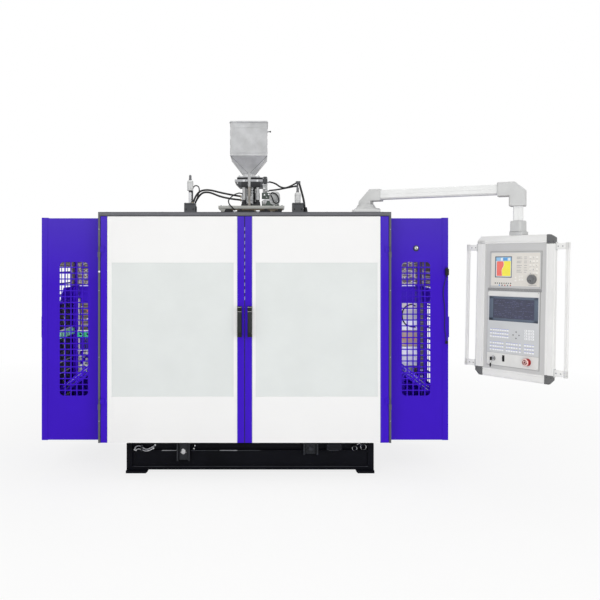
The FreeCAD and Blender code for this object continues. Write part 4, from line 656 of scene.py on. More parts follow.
def panel_face():
    f = FRONT
    p = Piece("panel_foils_and_keys",
              "bezel beige foil key_white label_blue print_grey dark_line screen_frame screen_blue screen_pale "
              "screen_red screen_yellow screen_mid chrome plastic foil_light red screen_marks key_pale valve_green "
              "screen_frame", frame=PANEL)

    def flat(u0, u1, z0, z1, mat, out=0.5, back=-0.3, r=0.1):
        """Low raised field on the face: it stands out in front and ends at back."""
        p.box(u0, u1, f - out, f + back, z0, z1, r, mat)

    def edging(u0, u1, z0, z1, mat, wide, out, back, r):
        """Frame of four strips inside the field; wide holds the strips' widths: low, top, left, right."""
        low, top, left, right = wide
        for field in ((u0, u1, z0, z0 + low), (u0, u1, z1 - top, z1), (u0, u0 + left, z0, z1),
                      (u1 - right, u1, z0, z1)):
            flat(*field, mat, out, back, r)

    upper = (-151, -18, 1503, 1652)
    lower = (-193, 188, 1198, 1370)
    knob_seat = (131, 151, 1484, 1504)
    bores = [(102, 132, 916, 946), (-162, -138, 919, 943)]
    for area, holes, out, back, mat in (
            ((-190, 203, 1436, 1683), [upper, knob_seat], 0.3, 0, 0),
            ((-181, 195, 1445, 1675), [upper, knob_seat], 0.35, 0.05, 1),
            ((-205, 196, 884, 1408), [lower] + bores, 0.3, 0, 2), ((-205, 196, 1374, 1404), [], 0.34, 0.06, 15),
            ((-205, 196, 886, 972), bores, 0.34, 0.06, 15)):
        p.sheet(area, holes, f - out, f - back, mat)
    flat(-205, 196, 971, 973, 5, back=-0.2)
    for z in (1410.5, 1417, 1424):
        flat(-212, 208, z, z + 3.2, 6, -5, 6.6, 0.4)
    for field in ((-194, -190, 1432, 1687), (203, 207, 1432, 1687), (-194, 207, 1683, 1687),
                  (-209, -205, 880, 1410), (196, 200, 880, 1410), (-209, 200, 880, 884)):
        flat(*field, 5, -1.5, 6.5, 0.5)
    # upper screen: dark frame, pale header, a bottle's weight curve in two colours
    s0, s1, t0, t1 = upper
    edging(*upper, 7, (6, 6, 6, 6), 0.1, 2, 0.6)
    for field, mat, out in (((s0 + 6, s1 - 6, t1 - 34, t1 - 6), 8, 1.2), ((-139, -92, t1 - 34, t1 - 8), 8, 1),
                            ((-107, -91, 1621, 1642), 9, 0.9), ((-50, -33, 1623, 1640), 9, 0.9),
                            ((-88, -54, 1622, 1641), 12, 0.9), ((s0 + 6, s1 - 6, t0 + 6, t1 - 34), 9, 1.2)):
        flat(*field, mat, -out, out + (0.4 if out > 1.1 else 0.3))
    for mat, curve in ((10, [(-138, 1514), (-96, 1514), (-98, 1540), (-99, 1556), (-94, 1570), (-86, 1582),
                             (-83, 1594), (-85, 1612), (-90, 1617), (-138, 1617)]),
                       (11, [(-94, 1514), (-96, 1540), (-97, 1556), (-92, 1567), (-84, 1579), (-80, 1592),
                             (-81, 1606), (-83, 1619), (-28, 1619), (-28, 1514)])):
        p.prism(curve, "y", f + 0.8, f + 1.2, 0, mat)
    # rows of small lamps under it
    for k, mat in enumerate((14, 19, 14, 14, 19, 14, 20, 14)):
        p.rod((-147 + k * 17.5, f - 0.3, 1463), FORE, 4.4, 0.7, 0.2, 14, mat)
    for k, mat in enumerate((12, 14, 16, 20, 16)):
        p.rod((-114 + k * 22, f - 0.3, 1449), FORE, 4.8, 0.7, 0.2, 14, mat)
    # printed lines and keys of the upper module
    for i, z in enumerate((1645, 1633, 1617, 1605, 1588, 1571, 1555, 1541)):
        long = 34 + 9 * random.random()
        flat(20, 20 + long, z, z + 3.2, 5)
        if i % 2 == 0:
            flat(20, 20 + long * 0.7, z - 5.5, z - 3.4, 5)
        flat(76, 76 + 18 + 8 * random.random(), z, z + 3, 5)
    for i in range(3):
        for k in range(5):
            u, z = 116 + i * 24, 1530 + k * 27
            flat(u, u + 17, z, z + 15, 18, 1.6, r=1)
            flat(u + 2, u + 14, z - 5.4, z - 3.4, 5)
            if (i * 2 + k) % 3 == 0:
                flat(u + 5, u + 12, z + 5, z + 9, 6, 1.8, -1.5)
    for u, z in ((6, 1498), (6, 1478), (38, 1506), (56, 1506), (38, 1484), (56, 1484)):
        flat(u, u + 14, z, z + 13, 18, 1.6, r=1)
    flat(112, 172, 1452, 1455, 5)
    # lower screen
    edging(*lower, 7, (19, 17, 33, 31), 0.1, 2, 0.8)
    for i in range(11):
        z = 1226 + i * 11.2
        u = -152
        while u < 140:
            w = 6 + 22 * random.random()
            if random.random() < 0.75 - 0.3 * abs(u) / 150:
                flat(u, min(u + w, 152), z, z + 3.4, 17, -1.7, 2)
            u += w + 8
    # key fields of the lower module: rows, keys, first place, pitch, shift, first shifted key, width
    for rows, keys, u0, pitch, shift, first, w in (
            ((1127, 1103, 1080), 8, -182, 18.6, 3, 1, 15), ((1036, 1012, 988), 6, -182, 18.4, 4, 1, 14.5),
            ((1036, 1012, 988), 6, -52, 19, 6, 5, 14.5), ((1036, 1012, 988), 4, 88, 19.6, 0, 4, 15)):
        for z in rows:
            for k in range(keys):
                u = u0 + k * pitch + (shift if k >= first else 0)
                flat(u, u + w, z, z + 10.5, 3, 1.7, r=1.1)
                if k or z != 1080:
                    flat(u, u + w, z + 11.5, z + 14.7, 4, 0.55)
    for i in range(3):
        for k in range(4):
            u, z = 89 + i * 26, 1081 + k * 18.4
            flat(u, u + 19, z, z + 13, 3, 1.7, r=1.4)
            flat(u + 6, u + 12, z + 4, z + 9, 5, 1.85, -1.6)
    p.rods([(u, f - 0.2, z) for u, z in ((25, 1129), (25, 1085), (2, 1107), (48, 1107))], FORE, 4.6, 1.3, 0.5, 20, 6)
    # key switch ring, toggle, stop button collar
    p.turned((-150, f - 0.2, 931), FORE, [(11.2, 0), (18.5, 0), (18.5, 2.5), (16.5, 6.6), (12.6, 6.6), (11.2, 4)],
             40, 13, False)
    flat(-80, -62, 915, 959, 14, 2, -0.2, 1)
    p.box(-77, -65, f - 9, f - 1.5, 933, 954, 3, 14, 3, Matrix.Translation((-71, f, 944))
          @ Matrix.Rotation(radians(-14), 4, "X") @ Matrix.Translation((71, -f, -944)))
    p.turned((117, f - 0.2, 931), FORE, [(10, 0), (25, 0), (25, 2), (22.4, 8.2), (10, 8.2)], 44, 16, False)
    p.ring((117, f - 1.4, 931), FORE, 27.5, 1.3, 15, 44, 8)
    p.rods(grid((-198, 188), f - 0.3, (890, 1401)) + grid((-184, 196), f - 0.3, (1441, 1678)),
           FORE, 2.8, 1, 0.3, 14, 5)
    p.done("panel", "panel_beige")

    p = Piece("weight_knob", "knob plastic chrome", frame=PANEL)
    u, z = 141, 1494
    p.turned((u, f - 0.5, z), FORE, [(30, 0), (32, 1.5), (32, 15), (30.5, 20), (27.5, 22), (24.5, 22),
                                     (22.5, 20.4), (4, 20)], 64)
    p.rods([(u + a, f - 2, z + b) for a, b in on_circle(40, 31.4)], FORE, 1, 13, 0.3, 8)
    p.turned((u - 9, f - 19.5, z - 12), FORE, [(8.6, 0), (8.6, 1.4), (7.4, 2), (6.6, 1.2), (1, 0.8)], 28, 1)
    p.rod((u, f + 14, z), FORE, 6, 16, 0.5, 24, 2)
    p.done("knob", "knob_grey", "panel_knob")

    p = Piece("stop_mushroom", "red stop_pale stop_dark chrome", frame=PANEL)
    u, z = 117, 931
    p.turned((u, f - 20, z), FORE, [(16, 0), (24, 1.5), (26, 4.5), (26, 9), (24.6, 13), (21, 16.4),
                                    (15, 18), (8, 18), (1, 17.6)], 56)
    p.turned((u, f - 33.6, z), FORE, [(24.2, 0), (23.2, 1.8), (21, 3.4), (14, 4.8), (1, 5)], 56, 1)
    for i in range(3):
        arrow = [(cos(a), sin(a)) for a in (2 * pi * i / 3 + 0.5 + j * 0.21 for j in range(7))]
        p.wire([(u + 14.4 * c, f - 38.6, z + 14.4 * s) for c, s in arrow], 2.6, 2, 8, 4)
        c, s = arrow[-1]
        p.turned((u + 14.4 * c, f - 38.4, z + 14.4 * s), (-s, 0, c), [(5.4, 0), (3.4, 3.5), (0.4, 8)], 8, 2)
    p.turned((u, f - 38.2, z), FORE, [(7, 0), (7, 0.5), (6, 1.2), (1, 1.2)], 32, 2)
    p.rod((u, f + 13, z), FORE, 9, 34, 0.5, 28, 3)
    p.done("stop_button", "stop_red", "emergency_stop")

    p = Piece("panel_key", "chrome plastic steel", frame=PANEL)
    u, z = -150, 931
    p.rod((u, f + 15, z), FORE, 10, 24, 1, 32)
    p.boxes((u - 1.4, u + 1.4, f - 22, f - 8, z - 8.5, z + 8.5, 0.4, 2),
            (u - 2.6, u + 2.6, f - 43, f - 20, z - 13, z + 12, 2.4, 1, 3))
    p.ring((u, f - 36, z - 20), RIGHT, 12, 1, 2, 32, 8)
    p.prism([(f - 42, z - 31), (f - 30, z - 31), (f - 28, z - 36), (f - 29, z - 56), (f - 36, z - 60),
             (f - 43, z - 56), (f - 44, z - 36)], "x", u - 1.5, u + 1.5, 0.6, 1)
    p.done("key", "key_steel", "key_switch")


def panel_handles():
    p = Piece("panel_grip_bars", "profile casting steel", frame=PANEL)
    b = FRONT + 3
    u0, u1 = 372, 396
    bar = [(u0, b + 3), (u0 + 3, b), (u0 + 9, b), (u0 + 10, b + 1.6), (u0 + 14, b + 1.6), (u0 + 15, b),
           (u1 - 3, b), (u1, b + 3), (u1, b + 13), (u1 - 3, b + 16), (u0 + 3, b + 16), (u0, b + 13)]
    for s in (-1, 1):
        p.prism([(s * u, v) for u, v in bar], "z", 858, 1740)
        for z in (856, 1692):
            p.boxes((s * 303, s * 374, b + 0.5, b + 15.5, z + 4, z + 46, 3, 0, 3),
                    (s * 370, s * 396, b, b + 16, z, z + 50, 3, 0, 3),
                    (s * 302.2, s * 309.5, b - 1.6, b + 17.6, z - 3, z + 53, 2, 1))
            p.rods(grid((s * 320, s * 352), b + 0.6, z + 25), FORE, 4.6, 1.6, 0.5, 20, 2)
        p.box(s * 302.2, s * 307, b + 0.5, b + 15.5, 862, 1736, 1.5, 0)
    p.done("panel", "panel_alloy", "panel_handles")


boom()
panel_frame()
panel_face()
panel_handles()


# ---------------------------------------------------------------- doors
SIDES = ((-1, "left"), (1, "right"))


def door_parts(s, name):
    p = Piece(name + "_door_grip", "handle plastic chrome")
    p.box(s * 24.5, s * 51.5, -946, -930, 1086, 1247, 5.5, 0, 4)
    for z0, z1 in ((1054, 1087), (1246, 1279)):
        p.box(s * 23, s * 53, -946, -900.2, z0, z1, 6, 1, 4)
    for z in (1243.5, 1276):
        p.box(s * 22.6, s * 53.4, -946.4, -932, z, z + 2.6, 0.8, 2)
    p.boxes((s * 22.8, s * 53.2, -946.2, -930, 1087, 1089, 0.5, 1),
            (s * 21, s * 55, -901.4, -900.1, 1050, 1283, 0.5, 1))
    for z in (1066, 1262):
        p.rod((s * 38, -945.6, z), FORE, 5.2, 1.6, 0.5, 24, 1)
        p.hexagon((s * 38, -946.6, z), FORE, 2.6, 1, 1)
    p.done(name + "_door", "handle_black", name + "_door_handle")

    p = Piece(name + "_door_seals_and_screws", "seal seal_pale skin dark_line")
    p.box(s * 0.2, s * 3.05, -898, -882, 259, 1955, 0.3, 0)
    for z in range(1330, 1872, 52):
        p.box(s * 0.2, s * 3.05, -899.4, -892, z, z + 26, 0.3, 1)
    # gasket frame that holds the frosted sheet
    for a, b, c, d in ((79, 83, 601, 1613), (997, 1001, 601, 1613), (79, 1001, 601, 605), (79, 1001, 1609, 1613)):
        p.box(s * a, s * b, -900.4, -897, c, d, 0.6, 2)
    # folded rim of the white skin against the violet stiles
    for a in (56.2, 1030 if s < 0 else 1017.4):
        p.box(s * a, s * (a + 1.6), -900.5, -899.2, 259, 1955, 0.2, 3)
    p.rods(grid(s * 1066, -901.2, (556, 578, 1698, 1720)), FORE, 4.2, 2.6, 0.6, 20, 3)
    p.done(name + "_door", "guard_violet")


# ---------------------------------------------------------------- hopper and feed block
def hopper_square(half, z, r=3):
    """Level square ring with a small radius at its corners."""
    arc = [(half - r + r * cos(b), half - r + r * sin(b)) for b in (radians(22.5 * i) for i in range(5))]
    corner = [(half, half - r - 3)] + arc + [(half - r - 3, half)]
    return [(c * x - s * y, s * x + c * y, z) for c, s in on_circle(4) for x, y in corner]


def funnel(half, radius, top, low, count=10):
    """Square above, round below: four flat triangles with quarter cones between them."""
    square, ring = [], []
    for k in range(4):
        m = radians(90 * k + 45)
        for i in range(count + 1):
            a = radians(90 * k + 90 * i / count)
            square.append((half * sqrt(2) * cos(m), half * sqrt(2) * sin(m), top))
            ring.append((radius * cos(a), radius * sin(a), low))
    return square, ring


def hopper_parts():
    p = Piece("hopper_sheet_metal", "hopper chrome rubber hopper_seam hopper_cone", (0, 900, 0))
    h, w, f = 182, 3, 64
    z0, z1, z2, base = 2490, 2658, 3000, 2455.4
    p.loft([hopper_square(h + out, z) for out, z in (
        (0, z1), (0.8, z1 + 4), (0, z1 + 9), (0, z2 - 16), (7.5, z2 - 15), (8, z2 - 13), (7.5, z2 - 10.5),
        (0.4, z2 - 9), (0, z2 - 0.6), (-1.5, z2), (-w, z2 - 0.6), (-w, z1))])
    outer, low = funnel(h, f, z1 + 0.5, z0)
    inner, low_in = funnel(h - w, f - w, z1 + 0.5, z0 + 1)
    neck, neck_in = ([(x, y, base) for x, y, z in ring] for ring in (low, low_in))
    # funnel walls in the lighter cone finish, painted light
    p.loft([neck, low, outer, inner, low_in, neck_in], 4)
    for k in range(4):
        a = pi / 2 * k
        c, s = cos(a), sin(a)
        # darker lines down the cone's bends: seams, darkened to paint the change of shade between the flat faces and
        # the corner cones
        for b in (a - pi / 4, a + pi / 4):
            p.wire([((f + 0.4) * c, (f + 0.4) * s, z0 + 1),
                    (h * sqrt(2) * cos(b), h * sqrt(2) * sin(b), z1)], 2.2, 3, 8, 2)
        # pressed beads, corner welds and rivets
        t = Matrix.Rotation(a, 4, "Z")
        for z in (2684, 2930):
            p.box(-h + 16, h - 16, -h - 1.6, -h + 0.5, z, z + 7, 1.5, 0, 2, t)
        for z in (2672, 2760, 2850, 2938, 2972):
            p.box(h - 3.2, h + 0.9, -h - 0.9, -h + 3.2, z, z + (60 if z < 2900 else 22), 1.3, 3, 2, t)
        for x in (-150, -75, 0, 75, 150):
            p.rod((x * c + (h + 4) * s, x * s - (h + 4) * c, z2 - 10.6), UP, 3.4, 2.6, 0.6, 14, 1)
    p.tower([((66, 66), base), ((110, 95), base), ((110, 95), 2467), ((66, 66), 2467)])
    p.hexagons(grid((-96, 96), (-80, 80), 2466.8), UP, 8.5, 7, 1)
    p.rods(grid((-96, 96), (-80, 80), 2473), UP, 4.5, 6, 0.6, 16, 1)
    sight = (h - 0.5, -60, z2 - 85)
    p.rod(sight, RIGHT, 5, 38.5, 0.8, 20, 2)
    p.turned(sight, RIGHT, [(13, 0), (13, 3), (9, 6), (6, 12)], 24, 1)
    p.turned((h + 26, -60, z2 - 85), RIGHT, [(4, 0), (8.5, 2), (8.5, 9), (5.5, 11.8)], 24, 2)
    p.done("machine", "hopper_steel", "hopper")

    p = Piece("feed_block", "block steel block_dark chrome brass")
    x0, x1, y0, y1 = -135, 164, 800, 1000
    left, right = [(x0, 2401), (x0 + 42, 2359)], [(x1 - 22, 2359), (x1, 2378), (x1, 2413)]
    # lower block in four walls round the throat
    for outline, a, b, r in ((left + right + [(x0, 2413)], y0, 858, 3), (left + right + [(x0, 2413)], 942, y1, 3),
                             (left + [(-42, 2359), (-42, 2413), (x0, 2413)], 857, 943, 0),
                             ([(42, 2359)] + right + [(42, 2413)], 857, 943, 0)):
        p.prism(outline, "y", a, b, r)
    plate = [level_ring(size, z, (0, 900)) for size, z in (
        (40.2, 2436), ((134, 99), 2436), ((134.5, 99.5), 2437), ((134.5, 99.5), 2453), ((132, 97), 2455),
        (40.2, 2455))]
    p.loft([[(x + 14.5 if abs(x) > 60 else x, y, z) for x, y, z in ring] for ring in plate], 2)
    p.boxes((x0 + 1, x1 - 1, 984.5, y1 - 1, 2415.5, 2434.5, 0.6, 1),
            (x0 + 2, x1 - 2, y0 + 0.5, y0 + 6, 2411, 2414.6, 0.6, 1))
    p.tower([(40.3, 2001), (90, 2001), (90, 2019), (70, 2021), (58, 2032), (58, 2340), (64, 2346), (64, 2359.5),
             (40.3, 2359.5)], 0, (0, 900))
    p.hexagons([(x, 900 + y, 2018.5) for x, y in on_circle(8, 78, pi / 8)], UP, 8, 7, 3)
    for x, z in ((x0 + 20, 2398), (x0 + 78, 2385), (x1 - 78, 2385), (x1 - 20, 2398)):
        p.rod((x, y0 + 0.5, z), FORE, 7, 4, 0.8, 20, 3)
        p.rods(grid(x, (y0 + 12, y1 - 12), 2454.6), UP, 7, 5, 0.8, 20, 3)
    for y in (850, 950):
        p.turned((x1 - 0.5, y, 2396), RIGHT, [(9, 0), (9, 4), (6, 6), (6, 16), (4, 18)], 20, 4)
    p.done("machine", "block_dark", "hopper_neck")


# ---------------------------------------------------------------- parison head gear on the roof
def roof_gear():
    cy = HEAD_Y
    p = Piece("parison_top_plate", "stand bronze block_dark chrome rubber")
    x0, x1, y0, y1 = -236, 317, -290, -110
    p.prism([(x0, y0), (x1 - 4, y0), (x1, y0 + 4), (x1, y1), (x0, y1)], "z", 2061, 2086, 2)
    p.boxes((x0 + 16, x1 - 16, y0 + 12, y1 - 12, 2047.2, 2061.5, 1.5, 1),
            (x0 + 22, x1 - 22, y0 + 20, y1 - 20, 2034, 2048, 1.5, 2))
    p.prism([(x0 + 4, 2060.8), (x0 + 30, 2036), (x0 + 50, 2036), (x0 + 60, 2060.8)], "y", y0 + 6, y0 + 14, 0.8)
    for x, w, m in ((-190, 60, 2), (-112, 34, 1), (-62, 20, 2), (62, 56, 1), (150, 26, 2), (196, 44, 1),
                    (262, 26, 2)):
        p.box(x, x + w, y0 + 9, y0 + 22, 2038, 2058, 1.2, m)
    for q in grid((-95, 95), (cy - 70, cy + 70), 1985.4):
        p.turned(q, UP, [(26, 0), (26, 8), (18, 12), (18, 50), (24, 54), (24, 61.8)], 32, 3)
    screws = (-216, -150, 232, 297), (-272, -128)
    p.rods(grid(*screws, 2085.6), UP, 9, 1.6, 0.4, 24, 3)
    p.hexagons(grid(*screws, 2087), UP, 6.8, 5, 3)
    p.wire([(-30, y0 + 32, 2187), (-66, y0 + 14, 2192), (-108, y0 - 6, 2172), (-146, y0 - 11, 2136),
            (-146, y0 - 11, 2104), (-122, y0 - 11, 2074), (-102, y0 - 8, 2052), (-98, y0 + 12, 2044)], 5.2, 4, 12, 6)
    p.done("machine", "stand_light", "parison_stand")

    p = Piece("parison_stroke_cylinder", "cylinder block_dark chrome brass nickel rod_brown")
    a0, a1, b0, b1 = -45, 117, cy - 70, cy + 70
    mid = (a0 + a1) / 2
    p.box(a0, a1, b0, b1, 2086.4, 2102, 2.5, 1)
    p.prism([(a0 + 8, 2243), (a1 - 8, 2243), (a1, 2251), (a1, 2284), (a1 - 6, 2290), (a0 + 6, 2290), (a0, 2284),
             (a0, 2251)], "y", b0, b1, 2, 1)
    p.turned((mid, cy, 2101), UP, [(47, 0), (47, 8), (40, 10), (40, 132), (47, 134), (47, 142.5)], 48)
    for x, y, z in grid((a0 + 24, a1 - 24), (b0 + 22, b1 - 22), 2102):
        p.turned((x, y, z), UP, [(20.8, 0), (20.8, 18), (18, 21), (15, 22), (15, 34)], 32, 1)
        p.turned((x, y, 2135), UP, [(16.2, 0), (18, 2), (18, 60), (15, 62), (15, 108.4)], 32, 4)
        p.rod((x, y, 2289.6), UP, 17, 2, 0.5, 28, 2)
        p.hexagon((x, y, 2291), UP, 13.5, 12, 2)
        p.rod((x, y, 2302), UP, 8, 4, 0.8, 20, 2)
    # position rod in front, pale above and browned below
    p.rod((23, b0 - 9, 2086.4), UP, 12, 158, 0.8, 24, 5)
    p.turned((23, b0 - 9, 2242), UP, [(9.5, 0), (12, 3), (12, 114), (10, 119), (4, 120)], 28, 4)
    p.boxes((6, 52, b0 - 16, b0 + 1, 2104, 2166, 4, 4, 3), (8, 50, b0 - 16.6, b0 - 15, 2130, 2133, 0.4, 1))
    p.rods(grid((13, 45), b0 - 15.6, (2111, 2159)), FORE, 3, 1.6, 0.4, 14, 2)
    for z in (2167, 2137):
        p.turned((a0 - 9, cy - 48, z), RIGHT, [(9.4, 0), (11.8, 1.5), (11.8, 9), (9.4, 10)], 6, 3)
        p.rod((a0 - 1.5, cy - 48, z), RIGHT, 10.5, 18, 1, 28, 2)
    for z in (2150, 2196, 2216):
        p.ring((mid, cy, z), UP, 40.4, 2.2, 1, 48, 8)
    p.done("machine", "cylinder_chrome", "parison_cylinder")

    p = Piece("servo_valve_parts", "valve valve_dark valve_green chrome casting plastic nickel")
    for x0, x1, deep, z0, z1, r, mat, seg in (
            (128, 204, 42, 2086.4, 2128, 3, 2, 3), (131, 201, 40, 2128, 2146, 2, 3, 2),
            (128, 204, 42, 2146, 2199, 3, 2, 3),
            (136, 176, 34, 2199, 2262, 2.5, 0, 2), (134.5, 177.5, 36, 2262, 2270, 1.5, 3, 2),
            (200, 276, 30, 2086.4, 2101, 2, 2, 2), (203, 212, 24, 2100, 2112, 1.5, 2, 2)):
        p.box(x0, x1, cy - deep, cy + deep, z0, z1, r, mat, seg)
    p.prism([(136, 2270), (176, 2270), (176, 2328), (168, 2336), (144, 2336), (136, 2328)],
            "y", cy - 34, cy + 34, 2, 1)
    p.rods(grid((140, 172), cy - 34, (2206, 2254, 2277, 2322)), FORE, 3.2, 3, 0.5, 14, 3)
    for x, z, r in ((148, 2232, 9), (164, 2214, 6), (150, 2178, 8), (186, 2182, 8), (168, 2160, 6)):
        p.turned((x, cy - (34 if z > 2199 else 41), z), FORE,
                 [(r, 0), (r, 4), (r * 0.7, 6), (r * 0.7, 9), (r * 0.3, 10)], 20, 3)
    p.prism([(134, 2100), (160, 2098), (172, 2126), (158, 2142), (136, 2138)], "y", cy - 50, cy - 41, 2.5, 6)
    # round servo motor on its side with a carrying bail
    cx, cz = 237.5, 2154
    squarish = [(c * k, s * k) for c, s, k in (
        (c, s, (abs(c) ** 3.2 + abs(s) ** 3.2) ** (-1 / 3.2)) for c, s in on_circle(36))]
    for size, y0, y1, r, mat, seg in ((1, 45.5, -45.5, 5, 4, 3), (0.72, 47, 44, 1, 0, 2)):
        outline = [(cx + 45.5 * size * a, cz + 55.5 * size * b) for a, b in squarish]
        p.prism(outline, "y", cy - y0, cy - y1, r, mat, seg)
    p.rods([(cx + 35 * c, cy - 45, cz + 42 * s) for c, s in on_circle(4, 1, pi / 4)], FORE, 4.2, 3, 0.6, 16, 3)
    p.wire([(x, cy - y, z) for x, y, z in (
        (206, 44, 2186), (208, 56, 2192), (220, 60, 2196), (244, 60, 2188), (264, 60, 2166), (272, 60, 2138),
        (266, 58, 2116), (248, 56, 2108), (232, 56, 2116), (222, 58, 2134), (214, 58, 2156), (206, 54, 2172),
        (204, 43, 2178))], 4.6, 5, 12, 6)
    for y, z, r in ((cy - 14, 2294, 11.8), (cy + 14, 2222, 10.8)):
        p.rod((174, y, z), RIGHT, r, 9, 1, 6, 3)
        p.rod((180, y, z), RIGHT, r - 1.2, 10, 0.8, 28, 3)
    p.done("machine", "valve_grey", "servo_valve")


def blow_pins():
    cy = HEAD_Y
    for name, x, drop in (("left", -480, 0), ("right", 433, 104)):
        p = Piece(name + "_pin_and_sleeve", "pin sleeve block_dark chrome cap_grey", (x, cy, -drop))
        for z, outline, seg, mat in (
                (1374, [(11, 0), (12, 1), (12, 26), (17, 27), (17, 45), (20, 47), (20, 94), (19, 95), (13.4, 96)],
                 40, 3),
                (2219.2, [(20, 0), (22.5, 0), (26, 3), (26, 78), (24.5, 83), (19, 88), (12, 90)], 44, 1),
                (2308.5, [(13, 0), (13, 4), (10.8, 7), (10.8, 34), (9, 42), (4, 46)], 32, 4)):
            p.turned((0, 0, z), UP, outline, seg, mat)
        p.rod((0, 0, 1469), UP, 13.5, 737, 0.1, 64)
        p.rod((0, 0, 2206), UP, 13.5, 13.5, 0.1, 64, 2)
        for z in (2238, 2284):
            p.ring((0, 0, z), UP, 25.6, 0.9, 4, 44, 8)
        p.hexagon((0, 0, 2313), UP, 12.6, 9, 4)
        p.done(name + "_pin", "pin_chrome", name + "_blow_pin")

    p = Piece("blow_unit_fittings", "block_dark chrome brass plastic")
    for x, port in ((-480, 14), (433, 0)):
        p.rods(grid((x - 38, x + 38), (cy - 38, cy + 38), 2112.6), UP, 5.5, 4, 0.6, 18, 1)
        p.boxes((x - 45, x + 45, cy - 49, cy - 46.5, 2098, 2101, 0.5),
                (x - 45, x + 45, cy - 49, cy - 46.5, 1752, 1770))
        p.rods(grid((x - 30, x + 30), cy - 46.6, (2000, 2060)), FORE, 6, 3, 0.6, 18)
        p.turned((x, cy, 2112.8), UP, [(15.2, 0), (24, 0), (23.4, 1.7), (15.2, 1.7)], 40, 0, False)
        p.hexagon((x + port, cy + 38, 2112.6), UP, 11, 8, 2)
    for x, y in ((-454, cy - 30), (-442, cy + 6), (-446, cy + 24)):
        p.turned((x, y, 2112.5), UP, [(12, 0), (12, 5), (10.4, 7)], 6, 2)
    p.tower([(9.3, 1990.3), (30, 1990.3), (31, 1994), (27, 2000), (19, 2046), (13, 2078), (9.3, 2080)], 3,
            (499, cy + 4))
    p.prism([(-433.5, 2092), (-426, 2086), (-426, 2040), (-433.5, 2034)], "y", cy - 34, cy + 34, 1)
    p.done("machine", "block_dark")


